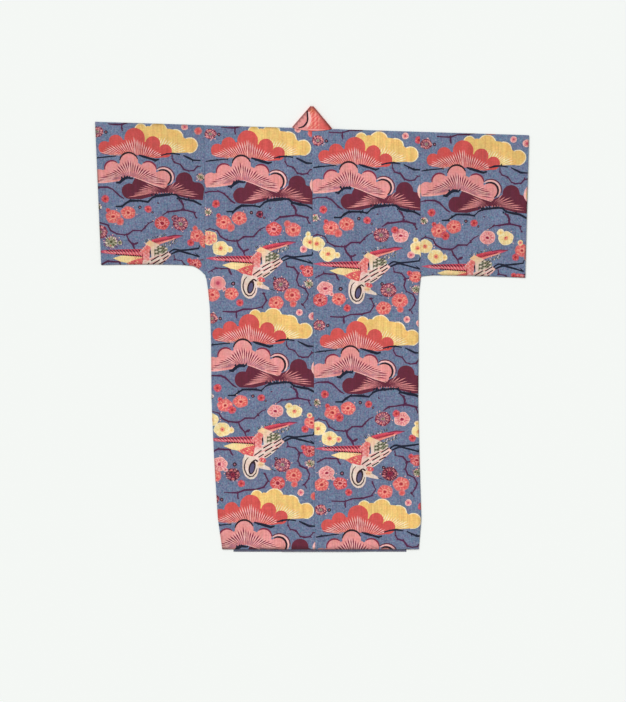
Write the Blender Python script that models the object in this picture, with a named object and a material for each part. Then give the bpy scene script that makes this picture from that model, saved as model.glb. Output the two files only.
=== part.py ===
"""A kimono laid flat on its front, so that its back is uppermost.

Metres, +Z up. +Y runs from the hem to the collar and +X from the wearer's left to the wearer's right.
Every piece is worked out as it is cut: "across" is measured from the centre back seam, "down" from the
shoulder fold, and place() turns both into the lie of the garment on the floor. The left front lies on the
floor, the right front on it, and the back on both. The origin is at the middle of the box, on the floor.
"""

import math

import bmesh
import bpy

# Cloth
CLOTH = 0.0012  # wall of a panel
COLLAR_WALL = 0.0024  # the collar is cloth folded double
GAP = 0.0003  # between two pieces at a seam, and between two layers

# Cut of the body
LENGTH = 1.346  # shoulder fold to the hem of the back
FRONT_DROP = 0.008  # the fronts hang this much below the back
PANEL = 0.345  # centre seam to armhole seam
FOLD = 0.003  # depth of the rounded fold at a shoulder, side or sleeve edge
ARMHOLE = {-1: 0.478, 1: 0.467}  # down to the armpit, left and right
WRAP_AT_TOP = 0.0035  # how far the back turns under at the sides
WRAP_AT_HEM = {-1: 0.036, 1: 0.040}

# Neck, collar and overlap panels
NECK_HALF = 0.066  # half of the neck opening at the shoulder fold
NECK_SLOPE = 0.25  # how fast the neckline of a front runs inwards on its way down
NECK_DIP = 0.009  # of the back neckline below the shoulder fold
COLLAR_SPAN = 0.0811  # width of the collar, measured straight across
COLLAR_FOLD_HALF = 0.0615  # where the collar folds under, at its seam
APEX_HALF = 0.002  # the blunt tip of the collar
APEX_UP = 0.0695
TIP_ROUNDING = 0.0012
COLLAR_END = 0.700
LEVEL_LOW = 0.800  # from here on no collar lies between the fronts and the back
OKUMI = NECK_SLOPE * COLLAR_END - NECK_HALF  # width of an overlap panel
OKUMI_TOP_WIDTH = 0.004

# Sleeves
CUFF_TOP = 0.694  # centre seam to the cuff, along the shoulder fold
CUFF_LEAN = 0.016  # the cuff's lower corner lies this much further in

# Lie of the garment
SHOULDER_SLOPE = 0.031  # the shoulder fold runs down to the right
CENTRE_DRIFT = 0.0105  # the centre seam runs to the right, hem against shoulder

# Layers over the overlap
OVERLAP_MARGIN = 0.010
RAMP = 0.045

# Mesh
ROW_STEP = 0.060
SLEEVE_STEP = 0.056
FOLD_ANGLES = (45, 90, 135)
ROLL_STEPS = 3
FLAT_ROLL_STEP = 0.0012
SHORT_TAIL = 0.0005

# Side edge of the back, half width from the centre seam
SIDE_COLUMNS = ("down", "left", "right")
SIDE_ROWS = (
    (0.467, 0.3450, 0.3450),
    (0.520, 0.3370, 0.3375),
    (0.580, 0.3315, 0.3360),
    (0.680, 0.3285, 0.3360),
    (0.870, 0.3285, 0.3330),
    (1.060, 0.3215, 0.3355),
    (1.250, 0.3110, 0.3400),
    (1.346, 0.2976, 0.3310),
)

# The side seam rolls under just below the armpit
ROLL_COLUMNS = ("below_armpit", "degrees")
ROLL_ROWS = ((0.000, 0), (0.010, 80), (0.025, 130), (0.045, 180))

# Lower edge of the sleeves, down from the shoulder fold
SLEEVE_COLUMNS = ("across", "left", "right")
SLEEVE_ROWS = (
    (0.345, 0.478, 0.467),
    (0.362, 0.460, 0.464),
    (0.385, 0.448, 0.462),
    (0.430, 0.445, 0.4615),
    (0.500, 0.4455, 0.4615),
    (0.570, 0.447, 0.462),
    (0.640, 0.449, 0.463),
    (0.694, 0.451, 0.464),
)

# Half width of the part where both fronts lie on each other
OVERLAP_COLUMNS = ("down", "half_width")
OVERLAP_ROWS = (
    (-APEX_UP, COLLAR_SPAN - NECK_HALF - NECK_SLOPE * APEX_UP),
    (COLLAR_END, COLLAR_SPAN - NECK_HALF + NECK_SLOPE * COLLAR_END),
    (LEVEL_LOW, OKUMI + OVERLAP_MARGIN),
    (LENGTH + FRONT_DROP, OKUMI),
)

# Seam and free edge of the collar's runs, at the rungs that follow the fold
RUN_COLUMNS = ("seam_down", "free_down")
RUN_ROWS = ((0.030, -0.026), (0.066, 0.024), (0.106, 0.078), (0.150, 0.131))

# Soft swells of the upper layer
SWELL_COLUMNS = ("across", "down", "long", "wide", "turn_degrees", "height")
SWELL_ROWS = (
    (-0.560, 0.20, 0.16, 0.060, 62, 0.0016),
    (-0.440, 0.33, 0.14, 0.050, 20, 0.0014),
    (0.520, 0.16, 0.18, 0.060, -55, 0.0016),
    (0.600, 0.32, 0.12, 0.050, -15, 0.0013),
    (-0.260, 0.56, 0.20, 0.045, 78, 0.0018),
    (-0.180, 0.98, 0.22, 0.060, 96, 0.0015),
    (0.160, 0.42, 0.24, 0.060, 70, 0.0015),
    (0.245, 0.86, 0.26, 0.050, 86, 0.0018),
    (0.060, 1.14, 0.16, 0.070, 12, 0.0014),
    (-0.120, 0.24, 0.16, 0.070, 30, 0.0014),
)
EDGE_FADE = 0.05

GROUND_BLUE = (0.165, 0.208, 0.300, 1.0)
COLLAR_ROSE = (0.560, 0.140, 0.150, 1.0)


def read_table(rows, columns, column, at):
    """The value of a column at a place along the table's first column, joined up by straight lines."""
    k = columns.index(column)
    if at <= rows[0][0]:
        return rows[0][k]
    for low, high in zip(rows, rows[1:]):
        if at <= high[0]:
            share = (at - low[0]) / (high[0] - low[0])
            return low[k] + share * (high[k] - low[k])
    return rows[-1][k]


def mix(a, b, share):
    return a + (b - a) * share


def clamp(value):
    return min(max(value, 0.0), 1.0)


def smooth(value):
    value = clamp(value)
    return value * value * (3 - 2 * value)


def stations(breaks, step):
    """Places that take in every break and lie no further apart than step."""
    found = [breaks[0]]
    for low, high in zip(breaks, breaks[1:]):
        count = max(1, math.ceil((high - low) / step - 1e-9))
        found += [mix(low, high, k / count) for k in range(1, count + 1)]
    return found


def side_name(side):
    return "left" if side < 0 else "right"


def place(across, down, height):
    """A point of the cut, as it lies on the floor. across is negative on the wearer's left."""
    fade = max(0.0, 1 - down / LENGTH)
    x = across + CENTRE_DRIFT * down / LENGTH
    y = -down - SHOULDER_SLOPE * across * fade
    return (x, y, height)


def side_edge(side, down):
    """Half width of the back at its side fold."""
    return read_table(SIDE_ROWS, SIDE_COLUMNS, side_name(side), down)


def neckline(down):
    """Where the seam of the collar crosses a front, out from the centre seam."""
    return NECK_HALF - NECK_SLOPE * down


def back_neckline(across):
    return NECK_DIP * max(0.0, 1 - (across / NECK_HALF) ** 2)


def front_inner_edge(down):
    """The front ends at the collar and, lower down, at the seam of the overlap panel."""
    return max(neckline(down), 0.0) + GAP / 2


def ramp_start(down):
    """Out to here the fronts lie on each other, with a margin."""
    half = read_table(OVERLAP_ROWS, OVERLAP_COLUMNS, "half_width", down)
    return max(half + OVERLAP_MARGIN, front_inner_edge(down) + FOLD)


def over_overlap(out, down):
    """1 over the crossed fronts, 0 beyond the ramp."""
    return clamp((ramp_start(down) + RAMP - out) / RAMP)


def collar_share(down):
    """1 where the collar lies among the layers, 0 near the hem."""
    return clamp((LEVEL_LOW - down) / (LEVEL_LOW - COLLAR_END))


def right_front_level(down):
    """Underside of the right front where it lies on the left one."""
    return mix(CLOTH, COLLAR_WALL, collar_share(down)) + GAP


def back_level(down):
    """Underside of the back where it lies on both fronts."""
    return 2 * mix(CLOTH, COLLAR_WALL, collar_share(down)) + 2 * GAP


def swell(across, down):
    """Height of the soft swells in the upper layer, which fade out towards the edges."""
    total = 0.0
    for row in SWELL_ROWS:
        x, y, long, wide, turn, height = row
        angle = math.radians(turn)
        dx, dy = across - x, down - y
        along = (dx * math.cos(angle) + dy * math.sin(angle)) / long
        over = (dy * math.cos(angle) - dx * math.sin(angle)) / wide
        total += height * math.exp(-along * along - over * over)
    out = abs(across)
    side = -1 if across < 0 else 1
    if out > PANEL:
        drop = read_table(SLEEVE_ROWS, SLEEVE_COLUMNS, side_name(side), out)
        edges = (down, drop - down, CUFF_TOP - CUFF_LEAN - out)
    elif down < ARMHOLE[side]:
        edges = (down, LENGTH - down)
    else:
        edges = (side_edge(side, down) - out, LENGTH - down)
    return total * smooth(min(edges) / EDGE_FADE)


def wall(name, outside, inside, colour, present=lambda r, c: True, looped=False, rising=lambda r, c: True):
    """A closed wall between two grids of points, each a list of rows.

    present tells which cells are cloth, looped joins the last row to the first, and rising picks the
    diagonal of a cell.
    """
    rows, columns = len(outside), len(outside[0])
    spans = rows if looped else rows - 1
    cells = {(r, c) for r in range(spans) for c in range(columns - 1) if present(r, c)}
    index, points, faces = {}, [], []

    def corner(skin, r, c):
        key = (skin, r % rows, c)
        if key not in index:
            index[key] = len(points)
            points.append((outside, inside)[skin][r % rows][c])
        return index[key]

    def next_cell(r, c):
        return (r % spans, c) if looped else (r, c)

    for r, c in sorted(cells):
        ring = ((r, c), (r, c + 1), (r + 1, c + 1), (r + 1, c))
        order = (0, 1, 2, 3) if rising(r, c) else (1, 2, 3, 0)
        for skin in (0, 1):
            quad = [corner(skin, *ring[k]) for k in order]
            halves = ((quad[0], quad[1], quad[2]), (quad[0], quad[2], quad[3]))
            faces += halves if skin == 0 else [half[::-1] for half in halves]
        beyond = ((r - 1, c), (r, c + 1), (r + 1, c), (r, c - 1))
        for k, neighbour in enumerate(beyond):
            if next_cell(*neighbour) in cells:
                continue
            a, b = ring[k], ring[(k + 1) % 4]
            faces.append((corner(0, *b), corner(0, *a), corner(1, *a), corner(1, *b)))

    mesh = bpy.data.meshes.new(name)
    mesh.from_pydata(points, [], faces)
    shell = bmesh.new()
    shell.from_mesh(mesh)
    bmesh.ops.recalc_face_normals(shell, faces=shell.faces)
    shell.to_mesh(mesh)
    shell.free()
    mesh.shade_smooth()
    mesh.set_sharp_from_angle(angle=math.radians(40))
    mesh.materials.append(cloth_material(name, colour))
    piece = bpy.data.objects.new(name, mesh)
    bpy.context.scene.collection.objects.link(piece)
    return piece


def cloth_material(name, colour):
    material = bpy.data.materials.new(name)
    material.use_nodes = True
    shader = material.node_tree.nodes["Principled BSDF"]
    shader.inputs["Base Color"].default_value = colour
    shader.inputs["Roughness"].default_value = 0.9
    shader.inputs["Metallic"].default_value = 0.0
    return material


def fold_pair(low, high, degrees, depth, thickness):
    """How far out, and how high, the two skins of a fold lie. 0 degrees is the top of the fold."""
    turn = math.radians(degrees)
    middle, half = (low + high) / 2, (high - low) / 2
    outer = (depth * math.sin(turn), middle + half * math.cos(turn))
    inner = (
        (depth - thickness) * math.sin(turn),
        middle + (half - thickness) * math.cos(turn),
    )
    return outer, inner


def body_stations(side):
    armpit = ARMHOLE[side]
    neck_end = NECK_HALF / NECK_SLOPE
    rolls = [armpit + row[0] for row in ROLL_ROWS]
    return stations([FOLD, neck_end, *rolls, COLLAR_END, LEVEL_LOW, LENGTH], ROW_STEP)


def roll_degrees(side, down):
    return read_table(ROLL_ROWS, ROLL_COLUMNS, "degrees", down - ARMHOLE[side])


def side_wrap(side, down):
    """How far the back turns under at the side fold."""
    start = ARMHOLE[side] + ROLL_ROWS[-1][0]
    return mix(WRAP_AT_TOP, WRAP_AT_HEM[side], clamp((down - start) / (LENGTH - start)))


# Columns of a body panel, out from the centre seam: shares of the way to the ramp, the ramp, and the
# way on to the side
NECK_SHARES = (0.0, 0.31, 0.62)
RIM_SHARES = (1 / 3, 2 / 3, 1.0)
NECK_COLUMN = len(NECK_SHARES)
FLAT_COLUMNS = NECK_COLUMN + 3 + len(RIM_SHARES)


def flat_columns(first, down, flat_end):
    start = ramp_start(down)
    rim = [mix(start + RAMP, flat_end, share) for share in RIM_SHARES]
    return [*first, start, start + RAMP, *rim]


def back_row(side, down):
    """Points of one row of the back: the outer and the inner skin, from the centre seam outwards."""
    degrees = roll_degrees(side, down)
    in_armhole = down <= ARMHOLE[side] + 1e-9
    edge = PANEL - GAP / 2 if in_armhole else side_edge(side, down)
    flat_end = edge - (ROLL_STEPS + 1) * FLAT_ROLL_STEP if in_armhole else edge - FOLD
    start = ramp_start(down)
    at_top = down <= FOLD + 1e-9
    last = front_inner_edge(down) if at_top else mix(0, start, 0.93)
    first = [mix(GAP / 2, start, share) for share in NECK_SHARES] + [last]
    outer, inner = [], []
    for k, out in enumerate(flat_columns(first, down, flat_end)):
        row_down = back_neckline(out) + GAP if at_top and k < NECK_COLUMN else down
        base = mix(CLOTH + GAP, back_level(down), over_overlap(out, down))
        low = base + swell(side * out, down)
        inner.append((out, row_down, low))
        outer.append((out, row_down, low + CLOTH))
    low = CLOTH + GAP + swell(side * flat_end, down)
    for k in range(1, ROLL_STEPS + 1):
        turn = degrees * k / ROLL_STEPS
        over, under = fold_pair(0.0, low + CLOTH, turn, FOLD, CLOTH)
        slip = FLAT_ROLL_STEP * k if degrees == 0 else 0.0
        outer.append((flat_end + over[0] + slip, down, over[1]))
        inner.append((flat_end + under[0] + slip, down, under[1]))
    if degrees == 0:
        tail = FLAT_ROLL_STEP
    elif degrees < 180:
        tail = SHORT_TAIL
    else:
        tail = side_wrap(side, down) - FOLD
    turn = math.radians(degrees)
    for skin in (outer, inner):
        out, row_down, height = skin[-1]
        skin.append((out + tail * math.cos(turn), row_down, height - tail * math.sin(turn)))
    return outer, inner


def front_row(side, down, columns_beyond):
    """Points of one row of a front. Below the armpit it ends at the seam with the turned-under back."""
    below_armpit = down > ARMHOLE[side] + 1e-9
    edge = side_edge(side, down) if below_armpit else PANEL - GAP / 2
    if below_armpit:
        flat_end = edge - max(FOLD, side_wrap(side, down)) - GAP
    else:
        flat_end = edge - columns_beyond * FLAT_ROLL_STEP
    across = flat_columns([front_inner_edge(down)], down, flat_end)
    across += [flat_end + FLAT_ROLL_STEP * k for k in range(1, columns_beyond + 1)]
    lift = right_front_level(down) if side > 0 else 0.0
    outer = [(out, down, lift * over_overlap(out, down)) for out in across]
    inner = [(out, down, low + CLOTH) for out, down, low in outer]
    return outer, inner


def padded_row(row, missing):
    """A row that starts at the neck point, with unused places before it."""
    return [row[0]] * missing + row


def build_body(side):
    """One length of cloth from the back hem over the shoulder to the front hem."""
    downs = body_stations(side)
    beyond = ROLL_STEPS + 1
    outside, inside = [], []
    for down in reversed(downs):
        outer, inner = back_row(side, down)
        outside.append(outer)
        inside.append(inner)
    fold_first = len(outside)
    top_outer, top_inner = outside[-1], inside[-1]
    front_outer, front_inner = front_row(side, downs[0], beyond)
    for degrees in FOLD_ANGLES:
        outer, inner = [], []
        for k in range(NECK_COLUMN, len(top_outer)):
            out, _, high = top_outer[k]
            low = front_outer[k - NECK_COLUMN][2]
            over, under = fold_pair(low, high, degrees, FOLD, CLOTH)
            outer.append((out, FOLD - over[0], over[1]))
            inner.append((out, FOLD - under[0], under[1]))
        outside.append(padded_row(outer, NECK_COLUMN))
        inside.append(padded_row(inner, NECK_COLUMN))
    front_first = len(outside)
    armpit_row = front_first
    for k, down in enumerate(downs):
        outer, inner = front_row(side, down, beyond)
        if k == len(downs) - 1:
            outer = [(out, down + FRONT_DROP, low) for out, down, low in outer]
            inner = [(out, down + FRONT_DROP, low) for out, down, low in inner]
        if down <= ARMHOLE[side] + 1e-9:
            armpit_row = front_first + k
        outside.append(padded_row(outer, NECK_COLUMN))
        inside.append(padded_row(inner, NECK_COLUMN))

    def present(r, c):
        if r < fold_first - 1:
            return True
        if c < NECK_COLUMN:
            return False
        return r < armpit_row or c < FLAT_COLUMNS - 1

    def rising(r, c):
        return (r < fold_first - 1) == (side > 0)

    finish_body = [[place(side * out, down, high) for out, down, high in row] for row in outside]
    finish_inner = [[place(side * out, down, high) for out, down, high in row] for row in inside]
    if side > 0:
        finish_body = [row[::-1] for row in finish_body]
        finish_inner = [row[::-1] for row in finish_inner]
        last = len(finish_body[0]) - 2
        return wall(
            "body_right", finish_body, finish_inner, GROUND_BLUE,
            present=lambda r, c: present(r, last - c), rising=rising,
        )
    return wall("body_left", finish_body, finish_inner, GROUND_BLUE, present=present, rising=rising)


def build_sleeve(side):
    """A flat tube, folded along the shoulder line and sewn along its lower edge."""
    name = side_name(side)
    joined = PANEL + GAP / 2
    tops = [row[0] for row in SLEEVE_ROWS]
    outside, inside = [], []
    count = math.ceil(ARMHOLE[side] / SLEEVE_STEP)
    for across in tops:
        share = (across - tops[0]) / (tops[-1] - tops[0])
        drop = read_table(SLEEVE_ROWS, SLEEVE_COLUMNS, name, across)

        def point(down, height):
            """The stations fan out a little, because the cuff leans in."""
            cuff = CUFF_TOP - CUFF_LEAN * down / drop
            return (mix(joined, cuff, share), down, height)

        downs = [mix(drop - FOLD, FOLD, k / count) for k in range(count + 1)]
        outer, inner = [], []
        highs = [CLOTH + GAP + swell(side * across, down) for down in downs]
        for down, low in zip(downs, highs):
            outer.append(point(down, low + CLOTH))
            inner.append(point(down, low))
        for degrees in FOLD_ANGLES:
            over, under = fold_pair(0.0, highs[-1] + CLOTH, degrees, FOLD, CLOTH)
            outer.append(point(FOLD - over[0], over[1]))
            inner.append(point(FOLD - under[0], under[1]))
        for down in reversed(downs):
            outer.append(point(down, 0.0))
            inner.append(point(down, CLOTH))
        for degrees in reversed(FOLD_ANGLES):
            over, under = fold_pair(0.0, highs[0] + CLOTH, degrees, FOLD, CLOTH)
            outer.append(point(drop - FOLD + over[0], over[1]))
            inner.append(point(drop - FOLD + under[0], under[1]))
        outside.append([place(side * out, down, high) for out, down, high in outer])
        inside.append([place(side * out, down, high) for out, down, high in inner])
    rings_out = [list(ring) for ring in zip(*outside)]
    rings_in = [list(ring) for ring in zip(*inside)]
    if side > 0:
        rings_out = [row[::-1] for row in rings_out]
        rings_in = [row[::-1] for row in rings_in]
    return wall(f"sleeve_{name}", rings_out, rings_in, GROUND_BLUE, looped=True)


def build_okumi(side):
    """The overlap panel: it carries on from a front across the centre and narrows to a point at the top."""
    top = (NECK_HALF + OKUMI_TOP_WIDTH) / NECK_SLOPE
    downs = stations([top, COLLAR_END, LEVEL_LOW, LENGTH + FRONT_DROP], ROW_STEP)
    outside, inside = [], []
    for down in downs:
        outer_edge = max(-neckline(down) - GAP / 2, 0.0) if down < COLLAR_END else OKUMI - GAP / 2
        low = right_front_level(down) if side > 0 else 0.0
        spans = [-mix(GAP / 2, outer_edge, share) for share in (0.0, 0.5, 1.0)]
        outside.append([place(side * out, down, low) for out in spans])
        inside.append([place(side * out, down, low + CLOTH) for out in spans])
    if side < 0:
        outside = [row[::-1] for row in outside]
        inside = [row[::-1] for row in inside]
    return wall(f"okumi_{side_name(side)}", outside, inside, GROUND_BLUE)


def collar_run(side):
    """Rungs of a collar run from the neck down to its end, as pairs of points: at the seam, at the free edge."""
    settled = RUN_ROWS[-1]
    lag = settled[0] - settled[1]
    downs = list(RUN_ROWS)
    downs += [(down, down - lag) for down in stations([settled[0], COLLAR_END], ROW_STEP)[1:]]
    rungs = []
    for seam, free in downs:
        seam_point = (side * (neckline(seam) - GAP / 2), seam)
        free_point = (side * (neckline(free) - COLLAR_SPAN), free)
        rungs.append((seam_point, free_point))
    return rungs


def build_collar():
    """One band, sewn round the neck. It shows as a peak behind the neck and folds under on both sides."""
    seam_places = [COLLAR_FOLD_HALF, mix(0, ramp_start(FOLD), 0.62), mix(0, ramp_start(FOLD), 0.31)]
    peak_low = back_level(0.0)
    outside, inside = [], []

    def add(rung, outer_high, inner_high, outer_out=0.0, inner_out=0.0, away=(0.0, 0.0)):
        """A rung from the seam to the free edge, with its two skins shifted away from the fold line."""
        (sx, sy), (fx, fy) = rung
        for rows, high, out in ((outside, outer_high, outer_out), (inside, inner_high, inner_out)):
            row = []
            for share in (0.0, 0.5, 1.0):
                x = mix(sx, fx, share) + away[0] * out
                y = mix(sy, fy, share) + away[1] * out
                row.append(place(x, y, high))
            rows.append(row)

    def fold_rungs(side, low):
        """The rungs that carry the band round its fold, from the run up to the peak."""
        seam, free = (side * COLLAR_FOLD_HALF, 0.0005), (side * APEX_HALF, -APEX_UP)
        dx, dy = free[0] - seam[0], free[1] - seam[1]
        size = math.hypot(dx, dy)
        away = (-side * dy / size, side * dx / size)
        depth = COLLAR_WALL + FOLD / 3
        for degrees in (180, *reversed(FOLD_ANGLES), 0):
            over, under = fold_pair(low, peak_low + COLLAR_WALL, degrees, depth, COLLAR_WALL)
            yield (seam, free), over, under, away

    left_low, right_low = 0.0, right_front_level(0.0)
    for rung in reversed(collar_run(-1)):
        add(rung, left_low, left_low + COLLAR_WALL)
    for rung, over, under, away in fold_rungs(-1, left_low):
        add(rung, over[1], under[1], over[0], under[0], away)
    middle = [(-1, 1), (-1, 2), (0, 0), (1, 2), (1, 1)]
    for side, k in middle:
        out = seam_places[k] if side else 0.0
        free_out = APEX_HALF * out / COLLAR_FOLD_HALF
        free_up = APEX_UP + TIP_ROUNDING * (1 - out / COLLAR_FOLD_HALF)
        rung = ((side * out, back_neckline(out)), (side * free_out, -free_up))
        add(rung, peak_low + COLLAR_WALL, peak_low)
    for rung, over, under, away in reversed(list(fold_rungs(1, right_low))):
        add(rung, over[1], under[1], over[0], under[0], away)
    for rung in collar_run(1):
        add(rung, right_low, right_low + COLLAR_WALL)
    return wall("collar", outside, inside, COLLAR_ROSE)


def clear_scene():
    for thing in list(bpy.data.objects):
        bpy.data.objects.remove(thing)


def centre(pieces):
    """Moves the origin to the middle of the box, on the floor."""
    points = [vertex.co for piece in pieces for vertex in piece.data.vertices]
    middle_x = (min(p.x for p in points) + max(p.x for p in points)) / 2
    middle_y = (min(p.y for p in points) + max(p.y for p in points)) / 2
    for piece in pieces:
        for vertex in piece.data.vertices:
            vertex.co.x -= middle_x
            vertex.co.y -= middle_y


def main():
    clear_scene()
    pieces = [build_collar()]
    for side in (-1, 1):
        pieces += [build_body(side), build_sleeve(side), build_okumi(side)]
    centre(pieces)


main()
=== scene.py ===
"""Dresses the flat kimono: its printed cloth, floor, light and camera.

The sheets are worked out as they are cut. "across" runs from the wearer's left to right, 0 at the centre
seam, and "along" runs from the back hem (negative) over the shoulder fold (0) to the front hem. "out" is the
distance from the centre seam on either side, and "down" the distance from the shoulder. The print is drawn in
centimetres, as one repeat of the stencil, and cut into the cloth's own mesh.
"""

import math
import random
from functools import partial

import bpy
import numpy as np
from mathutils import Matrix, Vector
from mathutils.geometry import delaunay_2d_cdt


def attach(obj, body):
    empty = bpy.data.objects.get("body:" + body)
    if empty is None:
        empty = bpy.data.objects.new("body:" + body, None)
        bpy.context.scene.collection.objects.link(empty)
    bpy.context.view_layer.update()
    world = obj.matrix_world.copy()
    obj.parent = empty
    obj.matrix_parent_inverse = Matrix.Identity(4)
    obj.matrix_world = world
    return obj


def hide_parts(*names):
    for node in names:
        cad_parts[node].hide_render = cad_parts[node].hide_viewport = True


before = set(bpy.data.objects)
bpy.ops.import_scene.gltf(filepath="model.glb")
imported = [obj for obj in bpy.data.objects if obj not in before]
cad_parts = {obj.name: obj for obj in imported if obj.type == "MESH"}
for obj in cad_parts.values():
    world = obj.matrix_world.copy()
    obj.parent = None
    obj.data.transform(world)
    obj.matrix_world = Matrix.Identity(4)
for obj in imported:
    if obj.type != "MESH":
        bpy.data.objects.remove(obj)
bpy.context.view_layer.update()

# The garment, in metres, as in the solids
THICK = 0.0012  # one layer with its lining
THIN = 0.0008  # the cloth that is seen, inside the solid's wall
GAP = 0.0003  # from one piece to the next
LENGTH = 1.346  # shoulder to back hem
FRONT_DROP = 0.008  # how much lower the front hem lies
PANEL = 0.345  # a width of cloth between its seams
JOINED = PANEL + GAP / 2  # where a sleeve starts
FOLD = 0.003  # depth of a fold
ARMHOLE = {-1: 0.478, 1: 0.467}
WRAP_AT_TOP = 0.0035  # how far the back turns under at its side
WRAP_AT_HEM = {-1: 0.036, 1: 0.040}
NECK_HALF = 0.066
NECK_SLOPE = 0.25
NECK_DIP = 0.009
COLLAR_SPAN = 0.0811
COLLAR_THICK = 0.0024
COLLAR_FOLD_HALF = 0.0615
APEX_HALF = 0.002
APEX_UP = 0.0695
TIP_ROUNDING = 0.0012
COLLAR_END = 0.700
LEVEL_LOW = 0.800
OKUMI = NECK_SLOPE * COLLAR_END - NECK_HALF
CUFF_TOP = 0.694
CUFF_LEAN = 0.016
SHOULDER_SLOPE = 0.031
CENTRE_DRIFT = 0.0105
OVERLAP_MARGIN = 0.010
RAMP = 0.045
MIDDLE_Y = (APEX_UP + TIP_ROUNDING - LENGTH - FRONT_DROP) / 2

SHOULDER_ARC = 0.008  # cloth taken up by the fold at the shoulder
SIDE_ARC = 0.0073  # and by a side fold
COLLAR_ARC = 0.0115  # and by the fold of the collar at its peak
FOLD_SHIFT = SHOULDER_ARC / 2 - FOLD  # a place's distance along the cut, less its distance down
FOLD_STEPS = 8  # flats that a fold's mesh has
EDGE_TAIL = 0.0048

SIDE_DOWN = (0.467, 0.520, 0.580, 0.680, 0.870, 1.060, 1.250, 1.346)
SIDE_OUT = {
    -1: (0.3450, 0.3370, 0.3315, 0.3285, 0.3285, 0.3215, 0.3110, 0.2976),
    1: (0.3450, 0.3375, 0.3360, 0.3360, 0.3330, 0.3355, 0.3400, 0.3310),
}
ROLL_DOWN = (0.000, 0.010, 0.025, 0.045)
ROLL_DEGREES = (0, 80, 130, 180)
SLEEVE_OUT = (0.345, 0.362, 0.385, 0.430, 0.500, 0.570, 0.640, 0.694)
SLEEVE_DROP = {
    -1: (0.478, 0.460, 0.448, 0.445, 0.4455, 0.447, 0.449, 0.451),
    1: (0.467, 0.464, 0.462, 0.4615, 0.4615, 0.462, 0.463, 0.464),
}
OVERLAP_DOWN = (-APEX_UP, COLLAR_END, LEVEL_LOW, LENGTH + FRONT_DROP)
OVERLAP_HALF = (
    COLLAR_SPAN - NECK_HALF - NECK_SLOPE * APEX_UP,
    COLLAR_SPAN - NECK_HALF + NECK_SLOPE * COLLAR_END,
    OKUMI + OVERLAP_MARGIN,
    OKUMI,
)
# Swells of the upper layer: across, down, long, wide, turn in degrees, height
SWELL_ROWS = (
    (-0.560, 0.20, 0.16, 0.060, 62, 0.0016),
    (-0.440, 0.33, 0.14, 0.050, 20, 0.0014),
    (0.520, 0.16, 0.18, 0.060, -55, 0.0016),
    (0.600, 0.32, 0.12, 0.050, -15, 0.0013),
    (-0.260, 0.56, 0.20, 0.045, 78, 0.0018),
    (-0.180, 0.98, 0.22, 0.060, 96, 0.0015),
    (0.160, 0.42, 0.24, 0.060, 70, 0.0015),
    (0.245, 0.86, 0.26, 0.050, 86, 0.0018),
    (0.060, 1.14, 0.16, 0.070, 12, 0.0014),
    (-0.120, 0.24, 0.16, 0.070, 30, 0.0014),
)
EDGE_FADE = 0.05  # how far in from an edge a swell reaches its full height
RIPPLE = 0.00022
SEAM_DIP = 0.0007
SEAM_WIDTH = 0.0022

GRID = 0.010  # spacing of the plain mesh between the motifs
LINING_GRID = 0.020
REVERSE_GROUND = 0.15  # how unevenly the reverse is dyed
SPILT = 1.3  # how many times its area a shape may cover

# Dyes, as sRGB from 0 to 255
DYES = {
    "ground": (90, 114, 151),
    "haze": (112, 92, 138),
    "red": (216, 88, 86),
    "deep_red": (172, 46, 62),
    "crimson": (150, 36, 62),
    "coral": (230, 106, 108),
    "salmon": (250, 168, 150),
    "blush": (208, 128, 134),
    "pink": (237, 158, 158),
    "pale_pink": (252, 196, 192),
    "rose": (204, 86, 116),
    "mauve": (160, 106, 130),
    "wine": (132, 42, 74),
    "maroon": (104, 38, 60),
    "purple": (84, 34, 74),
    "cerise": (222, 80, 98),
    "rouge": (236, 124, 120),
    "navy": (20, 26, 50),
    "ink": (46, 24, 34),
    "yellow": (242, 208, 130),
    "amber": (246, 205, 124),
    "cream": (252, 230, 168),
    "ivory": (254, 242, 202),
    "peach": (250, 208, 156),
    "sienna": (196, 112, 76),
    "olive": (84, 86, 60),
    "sage": (160, 162, 136),
    "bone": (236, 218, 208),
    "slate": (92, 90, 128),
    "taupe": (74, 58, 60),
    "reverse": (86, 76, 94),
}


def linear(rgb):
    values = np.array(rgb, float) / 255
    return np.where(values <= 0.04045, values / 12.92, ((values + 0.055) / 1.055) ** 2.4)


INK = {name: linear(rgb) for name, rgb in DYES.items()}


def mix(a, b, share):
    return a + (b - a) * share


def smooth(value):
    value = np.clip(value, 0.0, 1.0)
    return value * value * (3 - 2 * value)


# The lie of the garment


def place(across, down, height):
    """Points on the floor for places of the cut."""
    fade = np.maximum(0.0, 1 - down / LENGTH)
    x = across + CENTRE_DRIFT * down / LENGTH
    y = -down - SHOULDER_SLOPE * across * fade - MIDDLE_Y
    return np.stack([x, y, height], -1)


def softened(at, places, values, width=0.012):
    """A table read with its corners rounded off."""
    steps = np.linspace(-width, width, 7)
    return np.mean([np.interp(at + step, places, values) for step in steps], axis=0)


def side_edge(side, down):
    return softened(down, SIDE_DOWN, SIDE_OUT[side])


def sleeve_drop(side, out):
    return softened(out, SLEEVE_OUT, SLEEVE_DROP[side], 0.006)


def neckline(down):
    return NECK_HALF - NECK_SLOPE * down


def back_neckline(across):
    return NECK_DIP * np.maximum(0.0, 1 - (across / NECK_HALF) ** 2)


def front_inner_edge(down):
    return np.maximum(neckline(down), 0.0) + GAP / 2


def over_overlap(out, down):
    half = np.interp(down, OVERLAP_DOWN, OVERLAP_HALF)
    start = np.maximum(half + OVERLAP_MARGIN, front_inner_edge(down) + FOLD)
    share = (start + RAMP - out) / RAMP
    return mix(np.clip(share, 0, 1), smooth(share), 0.5)


def collar_share(down):
    return np.clip((LEVEL_LOW - down) / (LEVEL_LOW - COLLAR_END), 0, 1)


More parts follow.
